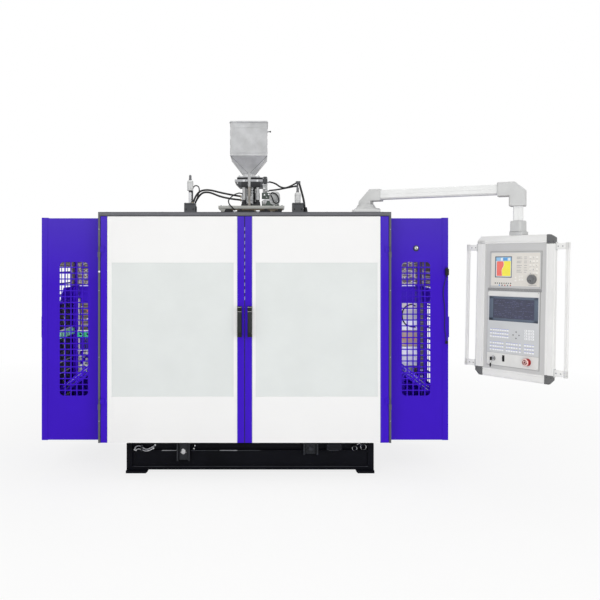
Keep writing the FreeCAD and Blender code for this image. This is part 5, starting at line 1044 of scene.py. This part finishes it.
# ---------------------------------------------------------------- gear behind the wing grilles
def wing_gear(s, name):
    """Oil cooler, terminal boxes and manifolds on two rails at the back of a wing."""
    p = Piece(name + "_wing_equipment", "violet_deep cooler cooler_light pale_box white_box tan_box orange rubber "
                                        "grey dark_brown green machine chrome steel print_grey")

    def bx(a, b, *rest):
        p.box(s * a, s * b, *rest)

    for a in (1356, 1488):
        bx(a, a + 14, 54, 66.2, 296, 1910, 1, 0)
    # cooler with its fins above the beam
    bx(1340, 1502, 30, 54.5, 1412, 1900, 3, 1)
    random.seed(5 + s)
    z = 1420
    while z < 1890:
        bx(1346, 1496, 22, 31, z, z + 4.2, 0.8, 1 if random.random() < 0.6 else 2)
        for k in range(5):
            if random.random() < 0.5:
                a = 1350 + k * 29 + 8 * random.random()
                bx(a, a + 10 + 9 * random.random(), 18, 23, z - 1, z + 6, 0.8, 2 if random.random() < 0.7 else 4)
        z += 10.5
    for a in (1346, 1384, 1424, 1464, 1492):
        bx(a, a + 5, 20, 31, 1414, 1898, 1, 1)
    if s > 0:
        # boxes from the top down, with printed lines
        for x0, x1, y0, y1, z0, z1, r, mat in (
                (1344, 1498, 28, 54.5, 1108, 1252, 3, 3), (1350, 1492, 26, 29, 1190, 1246, 1, 2),
                (1344, 1498, 26, 54.5, 1012, 1106, 3, 4), (1344, 1498, 22, 54.5, 872, 1008, 3, 5),
                (1348, 1494, 20, 23, 900, 903, 0.6, 14), (1348, 1494, 20, 23, 980, 983, 0.6, 14),
                (1344, 1498, 24, 54.5, 700, 868, 3, 4), (1352, 1490, 22, 25, 780, 783, 0.6, 14),
                (1372, 1498, 26, 54.5, 612, 697, 3, 9)):
            bx(x0, x1, y0, y1, z0, z1, r, mat)
        p.wire([(1478, 27, 1228), (1446, 18, 1240), (1398, 15, 1222), (1368, 15, 1178), (1366, 15, 1120),
                (1388, 15, 1072), (1430, 16, 1048), (1476, 26, 1040)], 6, 7, 12, 6)
        p.rods(grid(1480, 29, (1228, 1040)), FORE, 9, 6, 1, 6, 12)
        for x in (1378, 1424, 1470):
            p.turned((x, 22.5, 944), FORE, [(12, 0), (12, 3), (9, 7), (1, 8.5)], 24, 6)
        p.turned((1440, 27, 660), FORE,
                 [(34, 0), (34, 3), (30, 5), (26, 4), (26, 3), (12, 3), (10, 6), (1, 6)], 36, 11)
        p.rods([(x, 27, z) for x, z in ((1390, 640), (1390, 680), (1486, 640))], FORE, 6, 4, 1, 6, 12)
        # cable duct behind the grille
        bx(1355, 1374, -744.4, -726, 790, 1300, 2, 8)
        for z0, z1 in ((1299, 1909), (297, 791)):
            bx(1361, 1368, -744.2, -737, z0, z1, 1, 0)
        for k in range(16):
            bx(1354.4, 1374.6, -745, -743, 806 + k * 31, 809 + k * 31, 0.5, 14)
        for k in range(4):
            bx(1356, 1373, -743, -727, 700 + k * 24, 712 + k * 24, 2, 4 if k % 2 else 9)
    else:
        for x0, x1, y0, z0, z1, r, mat in (
                (1478, 1490, 22, 640, 1292, 2, 3), (1394, 1470, 28, 1016, 1252, 3, 1),
                (1376, 1500, 18, 1004, 1014, 1.5, 4),
                (1376, 1500, 34, 846, 946, 2, 0), (1376, 1500, 20, 832, 842, 1.5, 4),
                (1376, 1480, 28, 640, 712, 3, 4)):
            bx(x0, x1, y0, 54.5, z0, z1, r, mat)
        for k in range(9):
            bx(1398, 1466, 22, 29, 1026 + k * 25, 1036 + k * 25, 1.5, 2 if k % 2 else 9)
        for k in range(6):
            p.rod((s * (1408 + 44 * (k % 2)), 25, 1040 + k * 36), FORE, 8, 8, 1.5, 20, (12, 6, 4)[k % 3])
        for a in (1380, 1442):
            bx(a, a + 56, 20, 54.5, 952, 1003, 4, 10, 3)
            p.rod((s * (a + 28), 21, 978), FORE, 9, 5, 1, 20, 12)
        for a in (1382, 1404, 1426, 1448):
            bx(a, a + 6, 26, 35, 850, 944, 1.5, 13 if a != 1404 else 7)
        for k in range(4):
            for i in range(4):
                if (i + k) % 3:
                    bx(1380 + i * 27, 1402 + i * 27, 24, 54.5, 716 + k * 28, 738 + k * 28, 2.5,
                       (4, 2, 14, 3)[(i * 2 + k) % 4])
        p.rods([(s * x, 29, z) for x, z in ((1398, 660), (1440, 690))], FORE, 14, 8, 2, 28, 11)
    p.done("machine", "machine_grey")


def side_door_liner(s, name):
    """Filter mats above, a violet cross sheet and, on the left, a smoked sheet with a strip of pale green clamps."""
    p = Piece(name + "_side_door_liner", "smoked green_pale steel violet white_box cooler cooler_light print_grey "
                                         "dark_brown")

    def bx(a, b, *rest):
        p.box(s * a, s * b, *rest)

    # filter mat: a thin sheet towards the front, a deeper pad against the rear rim
    front, low = (-400, 1570) if s < 0 else (-300, 1404)
    bx(1539, 1544.6, front, 31, low, 1900, 1, 5)
    bx(1522, 1544.6, -46, 31.4, 1404, 1900, 2, 5)
    for x0, x1, y0, y1, z0, step, high, other in ((1535, 1540, front + 6, 30, low + 6, 13, 4.5, 8),
                                                  (1524, 1542, -49, -44, 1408, 11, 4.4, 5)):
        for z in range(z0, 1890, step):
            bx(x0, x1, y0, y1, z, z + high, 0.8, 6 if random.random() < 0.5 else other)
    for y in range(front + 30, 0, 42):
        bx(1536, 1541, y, y + 4, low, 1898, 0.8, 8)
    # cross sheet with a slanted front edge
    p.prism([(-245, 1398), (-375, 1262), (31.4, 1262), (31.4, 1398)], "x", s * 1538, s * 1544.6, 0, 3)
    if s < 0:
        bx(1538, 1541, -709, 31, 320, 1262, 0.6, 0)
        for z in (520, 900, 1254):
            bx(1540.6, 1544.6, -709, 31, z, z + 8, 0.5, 3)
        bx(1528, 1538.4, -420, -20, 1038, 1050, 1, 4)
        for y in range(-420, 0, 88):
            bx(1518, 1538.4, y, y + 76, 984, 1035, 4, 1, 3)
            p.rod((s * 1519, y + 38, 1008), RIGHT, 8, 3, 0.8, 20, 2)
        bx(1529, 1538.4, -249, -238, 440, 1258, 1, 7)
        for z in (780, 690, 480):
            bx(1532, 1538.4, -420, -20, z, z + 7, 1, 7)
    else:
        bx(1538, 1544.6, -164, 31.4, 300, 1262, 0.6, 3)
        for z in (420, 760, 1100):
            bx(1534, 1539, -160, 28, z, z + 6, 0.6, 3)
    p.done(name + "_side_door", "switch_black")


def chute_strips():
    """Steel wear strips and small rollers along the bottle chutes of both wings."""
    p = Piece("chute_wear_strips", "steel print_grey chrome")
    x0, z0, x1, z1 = 1112, 835, 1494, 536
    for s in (-1, 1):
        for lift, r, m in ((26, 3, 0), (56, 2, 1)):
            p.rod((s * x0, -421.5, z0 + lift), (s * (x1 - x0), 0, z1 - z0), r, hypot(x1 - x0, z1 - z0), 0.6, 12, m)
        for x in range(1150, 1463, 78):
            p.rod((s * x, -420.5, 974 - (x - 985) * 403 / 515), FORE, 6, 4, 0.8, 18, 2)
    p.done("machine", "guard_violet")


def wing_lock():
    p = Piece("wing_lock_face", "chrome block_dark cap_grey")
    x, y, z = 1305, -819, 1721
    p.turned((x, y + 1, z), FORE, [(17.4, 0), (17.4, 2), (15.8, 4.2), (12.6, 4.2), (12, 2.6), (1, 2.6)], 40, 2)
    p.turned((x, y - 1.4, z), FORE, [(11.2, 0), (11.2, 1.4), (10, 2.2), (1, 2.2)], 36, 0)
    p.box(x - 2, x + 2, y - 4.2, y - 3.2, z - 7.5, z + 7.5, 0.3, 1)
    # thin dark disc on the cover behind the lock, set 3 mm low: a collar, darkened and set low to paint the shadow
    # under the lock
    p.turned((x, y + 8.9, z - 3), FORE, [(23, 0), (23, 0.8), (19, 1.2)], 40, 1)
    p.done("machine", "switch_black")


for sign, side_name in SIDES:
    wing_gear(sign, side_name)
    side_door_liner(sign, side_name)
chute_strips()
wing_lock()


# ---------------------------------------------------------------- base fittings
def base_fittings():
    p = Piece("base_brackets_and_pipes", "base_cheek chrome black steel base_gloss base_glint base_box")
    f = -770
    for a, b, z0, z1, dull in ((-523, -420, 92, 228, 1), (445, 560, 138, 228, 4)):
        m, k = (a + b) / 2, (z0 + z1) / 2
        p.boxes((a + 1, a + 13, f - 35.2, f - 33.6, z0 + 2, z1 - 2, 0.6, 0),
                (b - 13, b - 1, f - 35.2, f - 33.6, z0 + 2, z1 - 2, 0.6, 0),
                (a + 16, b - 16, f - 12, f - 9.6, z0 + 6, z1 - 6, 1, 0))
        p.turned((m, f - 23.5, k), FORE, [(18, 0), (18, 2), (15.5, 5), (9, 6), (8.5, 4.5), (1, 4.5)], 32, dull)
        p.prism([(m - 24, k - 6), (m + 24, k - 6), (m + 14, k + 16), (m, k + 26), (m - 14, k + 16)],
                "y", f - 24, f - 9, 2, dull)
        p.rods(grid((a + 7, b - 7), f - 35, (z0 + 14, z1 - 14)), FORE, 4.4, 2.4, 0.5, 16, 4)
    # painted highlights: lighter strips along the beam edges, where the beams catch the light
    for a, b, z0, z1, m in ((-640, -524, 163, 168.8, 5), (-416, -210, 163, 168.8, 4), (-196, -60, 163, 168.8, 5),
                            (-60, 120, 163, 168.8, 4), (-860, 945, 41, 45.8, 4)):
        p.box(a, b, f - 0.9, f + 3, z0, z1, 0.8, m)
    # small pipes on the left, junction box and hose ports on the right
    for r, mat, around, pipe in (
            (5, 3, 12, [(-846, 8, 176), (-838, 12, 196), (-818, 14, 206), (-794, 14, 200), (-772, 14, 184),
                          (-748, 14, 180), (-724, 14, 190), (-700, 12, 204), (-690, 6, 210)]),
            (4, 1, 12, [(-838, 8, 172), (-816, 13, 182), (-790, 14, 176), (-764, 14, 166), (-734, 14, 170),
                          (-704, 10, 186)]),
            (4.2, 1, 10, [(860, 6, 214), (876, 10, 222), (890, 6, 214)])):
        p.wire([(x, f - y, z) for x, y, z in pipe], r, mat, around, 6)
    p.rods([(x, f + 3, z) for x, z in ((-846, 176), (-838, 172), (-690, 210), (-704, 186))], FORE, 9, 14, 1, 6, 1)
    p.boxes((-800, -784, f - 21, f + 1, 164, 212, 1.5, 0), (620, 744, f - 26, f + 1, 170, 226, 3, 2, 3),
            (626, 738, f - 28, f - 25.5, 174, 221, 1.5, 6), (640, 716, f - 28.6, f - 27, 170.5, 175, 0.6, 4))
    p.rods(grid((634, 730), f - 27.8, (182, 214)), FORE, 3.8, 1.8, 0.5, 16, 4)
    p.rod((682, f - 13, 158), UP, 9, 13, 1, 6, 2)
    for x, z, r in ((838, 190, 20), (905, 200, 23)):
        p.turned((x, f + 1, z), FORE, [(r, 0), (r, 5), (r - 2, 9), (r - 2, 24), (r, 27), (r, 30), (r - 2.4, 32),
                                       (r - 4.6, 30), (r - 5, 27)], 36, 1, False)
        p.turned((x, f + 1, z), FORE, [(r - 3, 0), (r - 3, 8), (1, 8)], 30, 2)
    p.rods([(-392, f - 2, 184), (-384, f - 2, 206)], FORE, 6.5, 12, 0.8, 6, 1)
    p.done("machine", "base_black")


def portal_trim():
    p = Piece("portal_trim", "trim dark_line skin steel grey")
    p.boxes((-1098, 1098, -898.9, -897.6, 1969, 1979, 0.4, 0), (-1098, 1098, -898.7, -897.6, 1962.5, 1964.5, 0.3, 1),
            (1084, 1099, -898.8, -897.4, 1706, 1738, 1, 4))
    for s in (-1, 1):
        p.box(s * 1085.5, s * 1087.5, -898.8, -897.6, 262, 1958, 0.3, 1)
    p.rods(grid((-1093, 1093), -897.8, (420, 900, 1400, 1860)), FORE, 3.6, 1.6, 0.5, 16, 3)
    p.turned((-1091, -897.8, 1542), FORE, [(7.5, 0), (7.5, 3), (5, 5.5), (1, 6.2)], 24, 2)
    p.rods(grid((-1040, -620, -200, 200, 620, 1040), (-872, -712), 1989.6), UP, 8, 3, 0.6, 20, 3)
    p.done("machine", "frame_grey")


for sign, side_name in SIDES:
    door_parts(sign, side_name)
hopper_parts()
roof_gear()
blow_pins()
base_fittings()
portal_trim()


# ---------------------------------------------------------------- rear units
def cabinet_fittings():
    p = Piece("cabinet_fittings", "seal steel cap_grey cabinet plastic")
    p.rods(grid((-968, -392), (912, 1198), 1900), UP, 15, 5, 1, 24, 1)
    for q in grid((-968, -392), (912, 1198), 1920):
        p.ring(q, BACK, 13, 4.5, 1)
    for s, x in ((-1, -1000), (1, -360)):
        for z in (420, 1560):
            p.box(x, x + s * 9, 940, 1150, z - 105, z + 105, 3, 3, 3)
            for low in range(z - 84, z + 69, 19):
                p.box(x + s * 9, x + s * 13, 956, 1134, low, low + 11, 1.2, 3)
                p.box(x + s * 8.6, x + s * 9.4, 956, 1134, low + 12, low + 18, 0.2, 0)
    p.box(-920, -440, 930, 1010, 1900, 1903, 0.8, 2)
    glands = range(-890, -469, 70)
    p.rods(grid(glands, 970, 1903), UP, 17, 8, 1, 6, 4)
    p.rods(grid(glands, 970, 1911), UP, 12, 9, 3, 24, 4)
    for x0, x1, z0, z1 in ((-999, -996, 104, 1896), (-364, -361, 104, 1896), (-999, -361, 104, 109),
                           (-999, -361, 1891, 1896)):
        p.box(x0, x1, 1226, 1230.8, z0, z1, 0.3, 0)
    p.done("machine", "cabinet_grey")

    p = Piece("cabinet_door_fittings", "cabinet seal steel screen_yellow red cap_grey")
    for z in (480, 1540):
        p.box(-800, -580, 1253, 1262, z - 110, z + 110, 4, 0, 3)
        for low in range(z - 90, z + 73, 18):
            p.box(-782, -598, 1261.6, 1266, low, low + 10, 1.2, 0)
            p.box(-782, -598, 1261.4, 1262.3, low + 11, low + 17, 0.2, 1)
    p.boxes((-428, -388, 1253, 1256, 940, 1120, 1.2, 5), (-410, -406, 1279.4, 1280.4, 1077, 1087, 0.3, 1),
            (-500, -428, 1253, 1257, 1314, 1386, 2, 3), (-470, -458, 1264, 1284, 1326, 1374, 3, 4, 3))
    p.rod((-408, 1276, 1082), BACK, 8, 4, 1, 24, 2)
    p.rod((-464, 1257, 1350), BACK, 27, 9, 2, 36, 4)
    for z, lens in ((1460, 5), (1520, 3), (1580, 4)):
        p.rod((-440, 1253, z), BACK, 14, 4, 1, 32, 2)
        p.turned((-440, 1257, z), BACK, [(10.5, 0), (10.5, 5), (8, 9), (3, 11)], 32, lens)
    for z in (300, 1700):
        p.box(-996, -972, 1253, 1259, z - 34, z + 34, 2, 5)
        p.bolts(grid(-984, 1259, (z - 20, z + 20)), BACK, 4, 2.4, 2)
    p.done("cabinet_door", "cabinet_grey")


def power_unit():
    p = Piece("power_unit_fittings", "tank steel plastic cap_grey valve screen_pale seal nickel drive screen_yellow")
    # lid screws, cleaning cover, level glass and drain
    p.bolts(grid(range(370, 1000, 88), (888, 1284), 572) + grid((354, 1006), (985, 1086, 1187), 572), UP, 6, 5, 1)
    p.turned((560, 1290, 320), BACK, [(146, 0), (148, 2), (148, 8), (142, 11), (60, 12), (56, 8), (0.5, 8)], 64)
    p.bolts([(560 + x, 1301, 320 + z) for x, z in on_circle(10, 128)], BACK, 7, 5, 1)
    p.boxes((902, 948, 1290, 1306, 380, 530, 5, 3, 3), (914, 936, 1304, 1309, 398, 512, 3, 5),
            (914, 936, 1305, 1309.6, 398, 440, 3, 9))
    p.hexagons(grid(925, 1306, (390, 520)), BACK, 8, 8, 1)
    p.hexagon((930, 1290, 120), BACK, 17, 14, 1)
    # breather, return filter
    p.turned((950, 1220, 640), UP, [(38, 0), (40, 3), (40, 26), (36, 32), (12, 35)], 40, 2)
    p.rods([(950 + x, 1220 + y, 643) for x, y in on_circle(20, 40)], UP, 2.2, 22, 0.6, 8, 2)
    p.turned((430, 1215, 572), UP,
             [(70, 0), (70, 10), (52, 14), (52, 92), (58, 96), (58, 112), (50, 120), (10, 122)], 48, 4)
    p.bolts([(430 + 61 * cos(a), 1215 + 61 * sin(a), 582) for a in (0.8, 2.4, 3.9, 5.5)], UP, 6, 5, 1)
    # motor: fan cover, terminal box, eye
    p.turned((412, 1085, 722), LEFT, [(123, 0), (124, 3), (124, 34), (112, 48), (40, 52), (36, 50)], 56, 8)
    for r in (52, 72, 92):
        p.ring((360.5 + (r - 52) * 0.08, 1085, 722), RIGHT, r, 3.2, 6, 48, 8)
    p.boxes((520, 650, 1026, 1144, 836, 894, 5, 8, 3), (517, 653, 1023, 1147, 886, 902, 4, 8, 3))
    p.bolts(grid((527, 643), (1033, 1137), 902), UP, 4.5, 3, 1)
    p.hexagon((590, 1144, 862), BACK, 19, 12, 2)
    p.rod((590, 1156, 862), BACK, 13, 10, 3, 24, 2)
    p.ring((470, 1085, 862), RIGHT, 15, 5, 1)
    p.rod((470, 1085, 838), UP, 12, 12, 2, 24, 1)
    # valve block with two valves and a gauge
    p.boxes((640, 790, 1176, 1276, 572, 640, 2.5, 1), (660, 770, 1190, 1262, 640, 690, 3, 4))
    p.rod((660, 1226, 666), LEFT, 21, 62, 3, 32, 2)
    p.rod((770, 1226, 666), RIGHT, 21, 62, 3, 32, 2)
    p.rod((715, 1226, 690), UP, 15, 30, 3, 28, 7)
    p.hexagon((715, 1226, 720), UP, 12, 12, 1)
    gx, gz = 806, 735
    p.rod((gx, 1200, 572), UP, 8, 130, 1, 20, 1)
    p.turned((gx, 1188, gz), BACK, [(36, 0), (38, 2), (38, 22), (35, 26), (33, 26), (33, 23), (0.5, 23)], 48, 3)
    p.rod((gx, 1211, gz), BACK, 32.6, 0.8, 0.2, 48, 5)
    dial = Matrix.Translation((gx, 0, gz))
    for k in range(11):
        p.box(-1, 1, 1211.6, 1212.2, 24, 30, 0.1, 6, 2, dial @ Matrix.Rotation(radians(27 * k - 135), 4, "Y"))
    p.box(-1.2, 1.2, 1212.2, 1213, -6, 25, 0.2, 6, 2, dial @ Matrix.Rotation(-0.7, 4, "Y"))
    p.rod((gx, 1211.4, gz), BACK, 4, 3, 0.6, 20, 6)
    # steel pipes: pump to block, block to tank
    pump, block = (864, 1085, 800), (745, 1222, 690)
    outlet, tank = (690, 1176, 606), (824, 1156, 572)
    p.wire([pump, (864, 1085, 842), (862, 1104, 872), (846, 1150, 884), (812, 1196, 876), (778, 1218, 846),
            (752, 1222, 780), block], 9, 1, 14, 6)
    p.wire([outlet, (690, 1150, 606), (700, 1138, 616), (760, 1134, 618), (810, 1140, 610), (822, 1150, 596), tank],
           7, 1, 14, 6)
    p.hexagons((pump, block, tank), UP, 17, 20, 7)
    p.hexagon(outlet, FORE, 17, 20, 7)
    p.bolts(grid((460, 700), (1015, 1155), 640), UP, 7, 5, 1)
    p.done("machine", "tank_grey")


def drive_fittings():
    p = Piece("drive_fittings", "drive steel plastic seal brass screen_pale")
    for s in (-1, 1):
        # belt cover: bands, slots and screws in its side
        for z in (1440, 1940):
            p.box(s * 127.6, s * 131, 1303, 1373, z, z + 6, 0.8, 0)
        for z in range(1560, 1743, 26):
            p.box(s * 127.8, s * 128.9, 1320, 1356, z, z + 10, 0.4, 3)
        p.bolts(grid(s * 128, 1314, (1470, 1690, 1915)), (s, 0, 0), 6, 5, 1)
        # gearbox: oil level and housing screws
        p.rod((s * 165, 1150, 1820), (s, 0, 0), 22, 6, 1.5, 36, 4)
        p.rod((s * 171, 1150, 1820), (s, 0, 0), 15, 1.4, 0.4, 32, 5)
        p.bolts(grid(s * 165, (1020, 1270), (1780, 1850, 1940, 2010)), (s, 0, 0), 6, 5, 1)
    # lid joint, eyes, breather
    p.boxes((-168, 168, 997, 1294, 1890, 1896, 1, 3), (-172, 172, 993, 1298, 1896, 1910, 2.5, 0),
            (-172, 172, 993, 1298, 1876, 1890, 2.5, 0))
    p.bolts(grid((-161.28, 161.28), (1010, 1100, 1190, 1280), 1910), UP, 6, 6, 1)
    p.rods(grid((-120, 120), (1040, 1250), 2036), UP, 17, 8, 2, 28, 1)
    for q in grid((-120, 120), (1040, 1250), 2058):
        p.ring(q, BACK, 16, 5.5, 1)
    p.turned((0, 1190, 2036), UP, [(13, 0), (13, 12), (20, 15), (20, 30), (14, 36), (3, 38)], 28, 4)
    # motor: terminal box on its side, fan cover
    p.boxes((112, 176, 1040, 1160, 1440, 1540, 5, 0, 3), (170, 182, 1036, 1164, 1436, 1544, 3, 0))
    p.bolts(grid(182, (1046, 1154), (1446, 1534)), RIGHT, 4, 3, 1)
    p.hexagon((146, 1100, 1440), DOWN, 17, 12, 2)
    p.turned((0, 941, 1490), FORE, [(121, 0), (122, 3), (122, 28), (110, 42), (40, 46), (36, 44)], 52)
    for r in (52, 72, 92):
        p.ring((0, 896 + (r - 52) * 0.06, 1490), BACK, r, 3.2, 3, 48, 8)
    p.done("machine", "drive_blue")

    p = Piece("barrel_fittings", "steel cap_grey brass nickel")
    sloped = (-sqrt(0.5), 0, sqrt(0.5))
    for y in range(10, 566, 185):
        for k in (0.16, 0.5, 0.84):
            p.ring((0, y + 159 * k, 1880), BACK, 88, 2.6, 0, 56, 8)
        for b in (y + 34, y + 118):
            p.boxes((-20, -4, b - 9, b + 9, 1964, 1992, 2), (4, 20, b - 9, b + 9, 1964, 1992, 2))
            p.rod((-30, b, 1982), RIGHT, 4.5, 60, 0.8, 18)
            p.hexagon((20, b, 1982), RIGHT, 8, 7)
        p.box(86, 126, y + 52, y + 108, 1852, 1908, 4, 1, 3)
        p.rod((106, y + 80, 1852), DOWN, 9, 22, 2, 20, 3)
        p.rod((-60, y + 80, 1942), sloped, 5.5, 26, 1, 18, 2)
        p.rod((-76, y + 80, 1958), sloped, 8, 9, 1, 6)
    for s in (-1, 1):
        p.bolts(grid(s * 110, (806, 984), (1776, 1880, 1984)), (s, 0, 0), 8, 7)
        p.hexagons(grid(s * 110, 895, (1820, 1934)), (s, 0, 0), 14, 12, 2)
        p.rods(grid(s * 122, 895, (1820, 1934)), (s, 0, 0), 8, 20, 2, 20, 2)
    p.done("machine", "barrel_steel")


def frame_fittings():
    p = Piece("rear_guard_fittings", "steel")
    for s in (-1, 1):
        p.bolts(grid((s * 346, s * 1084), 880, (258, 640, 1255, 1600, 1932))
                + grid((s * 600, s * 840), 880, (256, 1934)), BACK, 7, 5)
        p.bolts(grid(s * 1100, (130, 480, 830), (256, 1934)), (s, 0, 0), 7, 5)
    p.done("machine", "guard_violet")

    p = Piece("frame_bolts", "steel")
    for s in (-1, 1):
        p.bolts(grid(s * 310, (1240, 1284), (240, 300, 1560, 1620)), (s, 0, 0), 9, 7)
        p.bolts(grid((s * 262, s * 298), 1300, (240, 300)), BACK, 9, 7)
    p.done("machine", "machine_grey")

    p = Piece("wing_rear_covers", "violet_deep steel seal")
    for s in (-1, 1):
        for z0, z1 in ((1408, 1904), (636, 1256)):
            p.boxes((s * 1336, s * 1504, 54.6, 57.4, z0, z1, 0.8, 0),
                    (s * 1339, s * 1501, 57, 59.2, z1 - 14, z1 - 4, 0.8, 0))
            for z in range(z0 + 40, z1 - 60, 30):
                p.prism([(57, z), (57, z + 16), (63, z + 3), (63, z)], "x", s * 1386, s * 1470)
                p.box(s * 1388, s * 1468, 57.2, 62, z - 0.8, z + 0.4, 0, 2)
            p.bolts(grid((s * 1344, s * 1496), 57.4, (z0 + 12, (z0 + z1) / 2, z1 - 22)), BACK, 5, 4, 1)
    p.done("machine", "guard_violet")


def clamp_fittings():
    """Mould bolts and claws, tie bar nuts, cylinder screws and ports of both clamps."""
    platen = 50
    for name, x in (("left", -480), ("right", 433)):
        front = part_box(name + "_front_mould")[0][1] * 1000
        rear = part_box(name + "_rear_mould")[1][1] * 1000
        ties = (x - 165, x + 165), (905, 1236)
        p = Piece(name + "_front_clamp_fittings", "steel clamp cylinder brass block_dark plastic")
        q = Piece(name + "_rear_clamp_fittings", "steel block_dark brass")
        p.bolts(grid((x - 96, x + 96), front - platen, (960, 1070, 1180, 1270)), FORE, 10, 9)
        p.bolts(grid((x - 180, x + 180), front - platen, (420, 640, 860)), FORE, 8, 6)
        p.boxes((x - 60, x + 60, front - 62, front - 49, 1120, 1160, 3, 4, 3),
                (x - 118, x + 118, front - 56, front - 49, 880, 892, 2, 1))
        p.hexagons(grid(ties[0], front - platen, ties[1]), FORE, 41, 27, 4)
        p.hexagons(grid(ties[0], 350, ties[1]), BACK, 41, 27, 4)
        q.bolts(grid((x - 96, x + 96), rear + platen, (960, 1200, 1270)), BACK, 10, 9)
        for s in (-1, 1):
            for z in (960, 1150):
                p.box(x + s * 125.2, x + s * 158, front + 0.4, front + 30, z, z + 44, 3, 4)
                q.box(x + s * 125.2, x + s * 158, rear - 30, rear - 0.4, z, z + 44, 3, 1)
            p.bolts(grid(x + s * 142, front + 30, (982, 1172)), BACK, 8, 6)
            q.bolts(grid(x + s * 142, rear - 30, (982, 1172)), FORE, 8, 6)
            p.rods(grid(x + s * 164, (front - 60, front + 40), 356), (s, 0, 0), 5, 9, 1, 16, 3)
        p.turned((x, 700, 1080), BACK, [(70, 0), (70, 5), (66, 8), (2, 8)], 48, 2)
        p.bolts([(x + a, 700, 1080 + b) for a, b in on_circle(8, 86, pi / 8)], BACK, 8, 7)
        p.hexagons(grid(x, (400, 650), 1191), UP, 20, 14)
        p.rods(grid(x, (400, 650), 1205), UP, 11, 16, 2, 24, 5)
        for z in (980, 990):
            p.box(x - 4, x + 4, 376, 678, z, z + 3, 1, 2)
        p.done(name + "_front_clamp", "clamp_white")
        for spot in grid(ties[0], rear + platen, ties[1]):
            q.turned(spot, BACK, [(22.4, 0), (36, 0), (36, 6), (30, 12), (22.4, 12)], 40, 2, False)
        q.done(name + "_rear_clamp", "clamp_white")


cabinet_fittings()
power_unit()
drive_fittings()
frame_fittings()
clamp_fittings()


# ---------------------------------------------------------------- floor, light
def stage():
    bpy.ops.mesh.primitive_plane_add(size=60, location=(0, 0, -0.001))
    floor = bpy.context.object
    floor.name = "floor"
    g = Graph("pale_floor")
    g.shader.inputs["Base Color"].default_value = (0.9, 0.9, 0.9, 1)
    g.shader.inputs["Roughness"].default_value = 0.8
    path = g.node("ShaderNodeLightPath")
    glow = g.node("ShaderNodeEmission", Color=(1, 1, 1, 1))
    half = g.node("ShaderNodeMixShader")
    away = g.node("ShaderNodeVectorMath", operation="LENGTH")
    g.link(g.space, away.inputs[0])
    pale = g.ramp(away.outputs["Value"], 2.2, 6.5, 0.80, 1.0)
    g.link(g.math("MULTIPLY", pale, path.outputs["Is Camera Ray"]), half.inputs[0])
    g.link(g.shader.outputs[0], half.inputs[1])
    g.link(glow.outputs[0], half.inputs[2])
    g.link(half.outputs[0], g.out.inputs["Surface"])
    floor.data.materials.append(g.mat)

    world = bpy.data.worlds.new("studio")
    bpy.context.scene.world = world
    w = Tree(world)
    w.tree.nodes.clear()
    out = w.node("ShaderNodeOutputWorld")
    path = w.node("ShaderNodeLightPath")
    seen = w.node("ShaderNodeBackground", Color=(1, 1, 1, 1))
    soft = w.node("ShaderNodeBackground", Color=(0.99, 0.985, 0.945, 1), Strength=0.6)
    mix = w.node("ShaderNodeMixShader")
    shown = path.outputs["Is Camera Ray"]
    for ray in ("Is Glossy Ray", "Is Transmission Ray"):
        shown = w.math("MAXIMUM", shown, path.outputs[ray])
    for source, socket in zip((shown, soft.outputs[0], seen.outputs[0]), mix.inputs):
        w.link(source, socket)
    w.link(mix.outputs[0], out.inputs[0])

    def area_light(name, at, size, power):
        data = bpy.data.lights.new(name, "AREA")
        data.size = size
        data.energy = power
        lamp = bpy.data.objects.new(name, data)
        lamp.location = at
        bpy.context.scene.collection.objects.link(lamp)
        return lamp

    for name, at, aim, size, power in (
            ("key", (-3.4, -6.6, 3.8), (0, -0.9, 1.1), 4.0, 65),
            ("fill", (4.8, -6.2, 2.8), (0.9, -0.9, 1.2), 4.0, 68),
            ("front", (0.4, -7.4, 0.9), (0.5, -0.9, 0.8), 1.7, 76),
            ("over", (0, 0.6, 6.5), (0, 0.2, 1.0), 4.6, 95)):
        lamp = area_light(name, at, size, power)
        lamp.visible_glossy = name != "front"
        lamp.rotation_euler = (Vector(aim) - Vector(at)).to_track_quat("-Z", "Y").to_euler()
    # two small lamps for the gear behind the wing grilles
    for side in (-1, 1):
        lamp = area_light("wing", (side * 1.40, -0.70, 1.15), 0.2, 0.95)
        lamp.data.shape = "RECTANGLE"
        lamp.data.size_y = 1.0
        lamp.data.spread = radians(70)
        lamp.rotation_euler = (radians(90), 0, 0)
        lamp.visible_camera = lamp.visible_glossy = False
    bpy.context.scene.view_settings.view_transform = "Standard"
    bpy.context.scene.view_settings.look = "None"


stage()
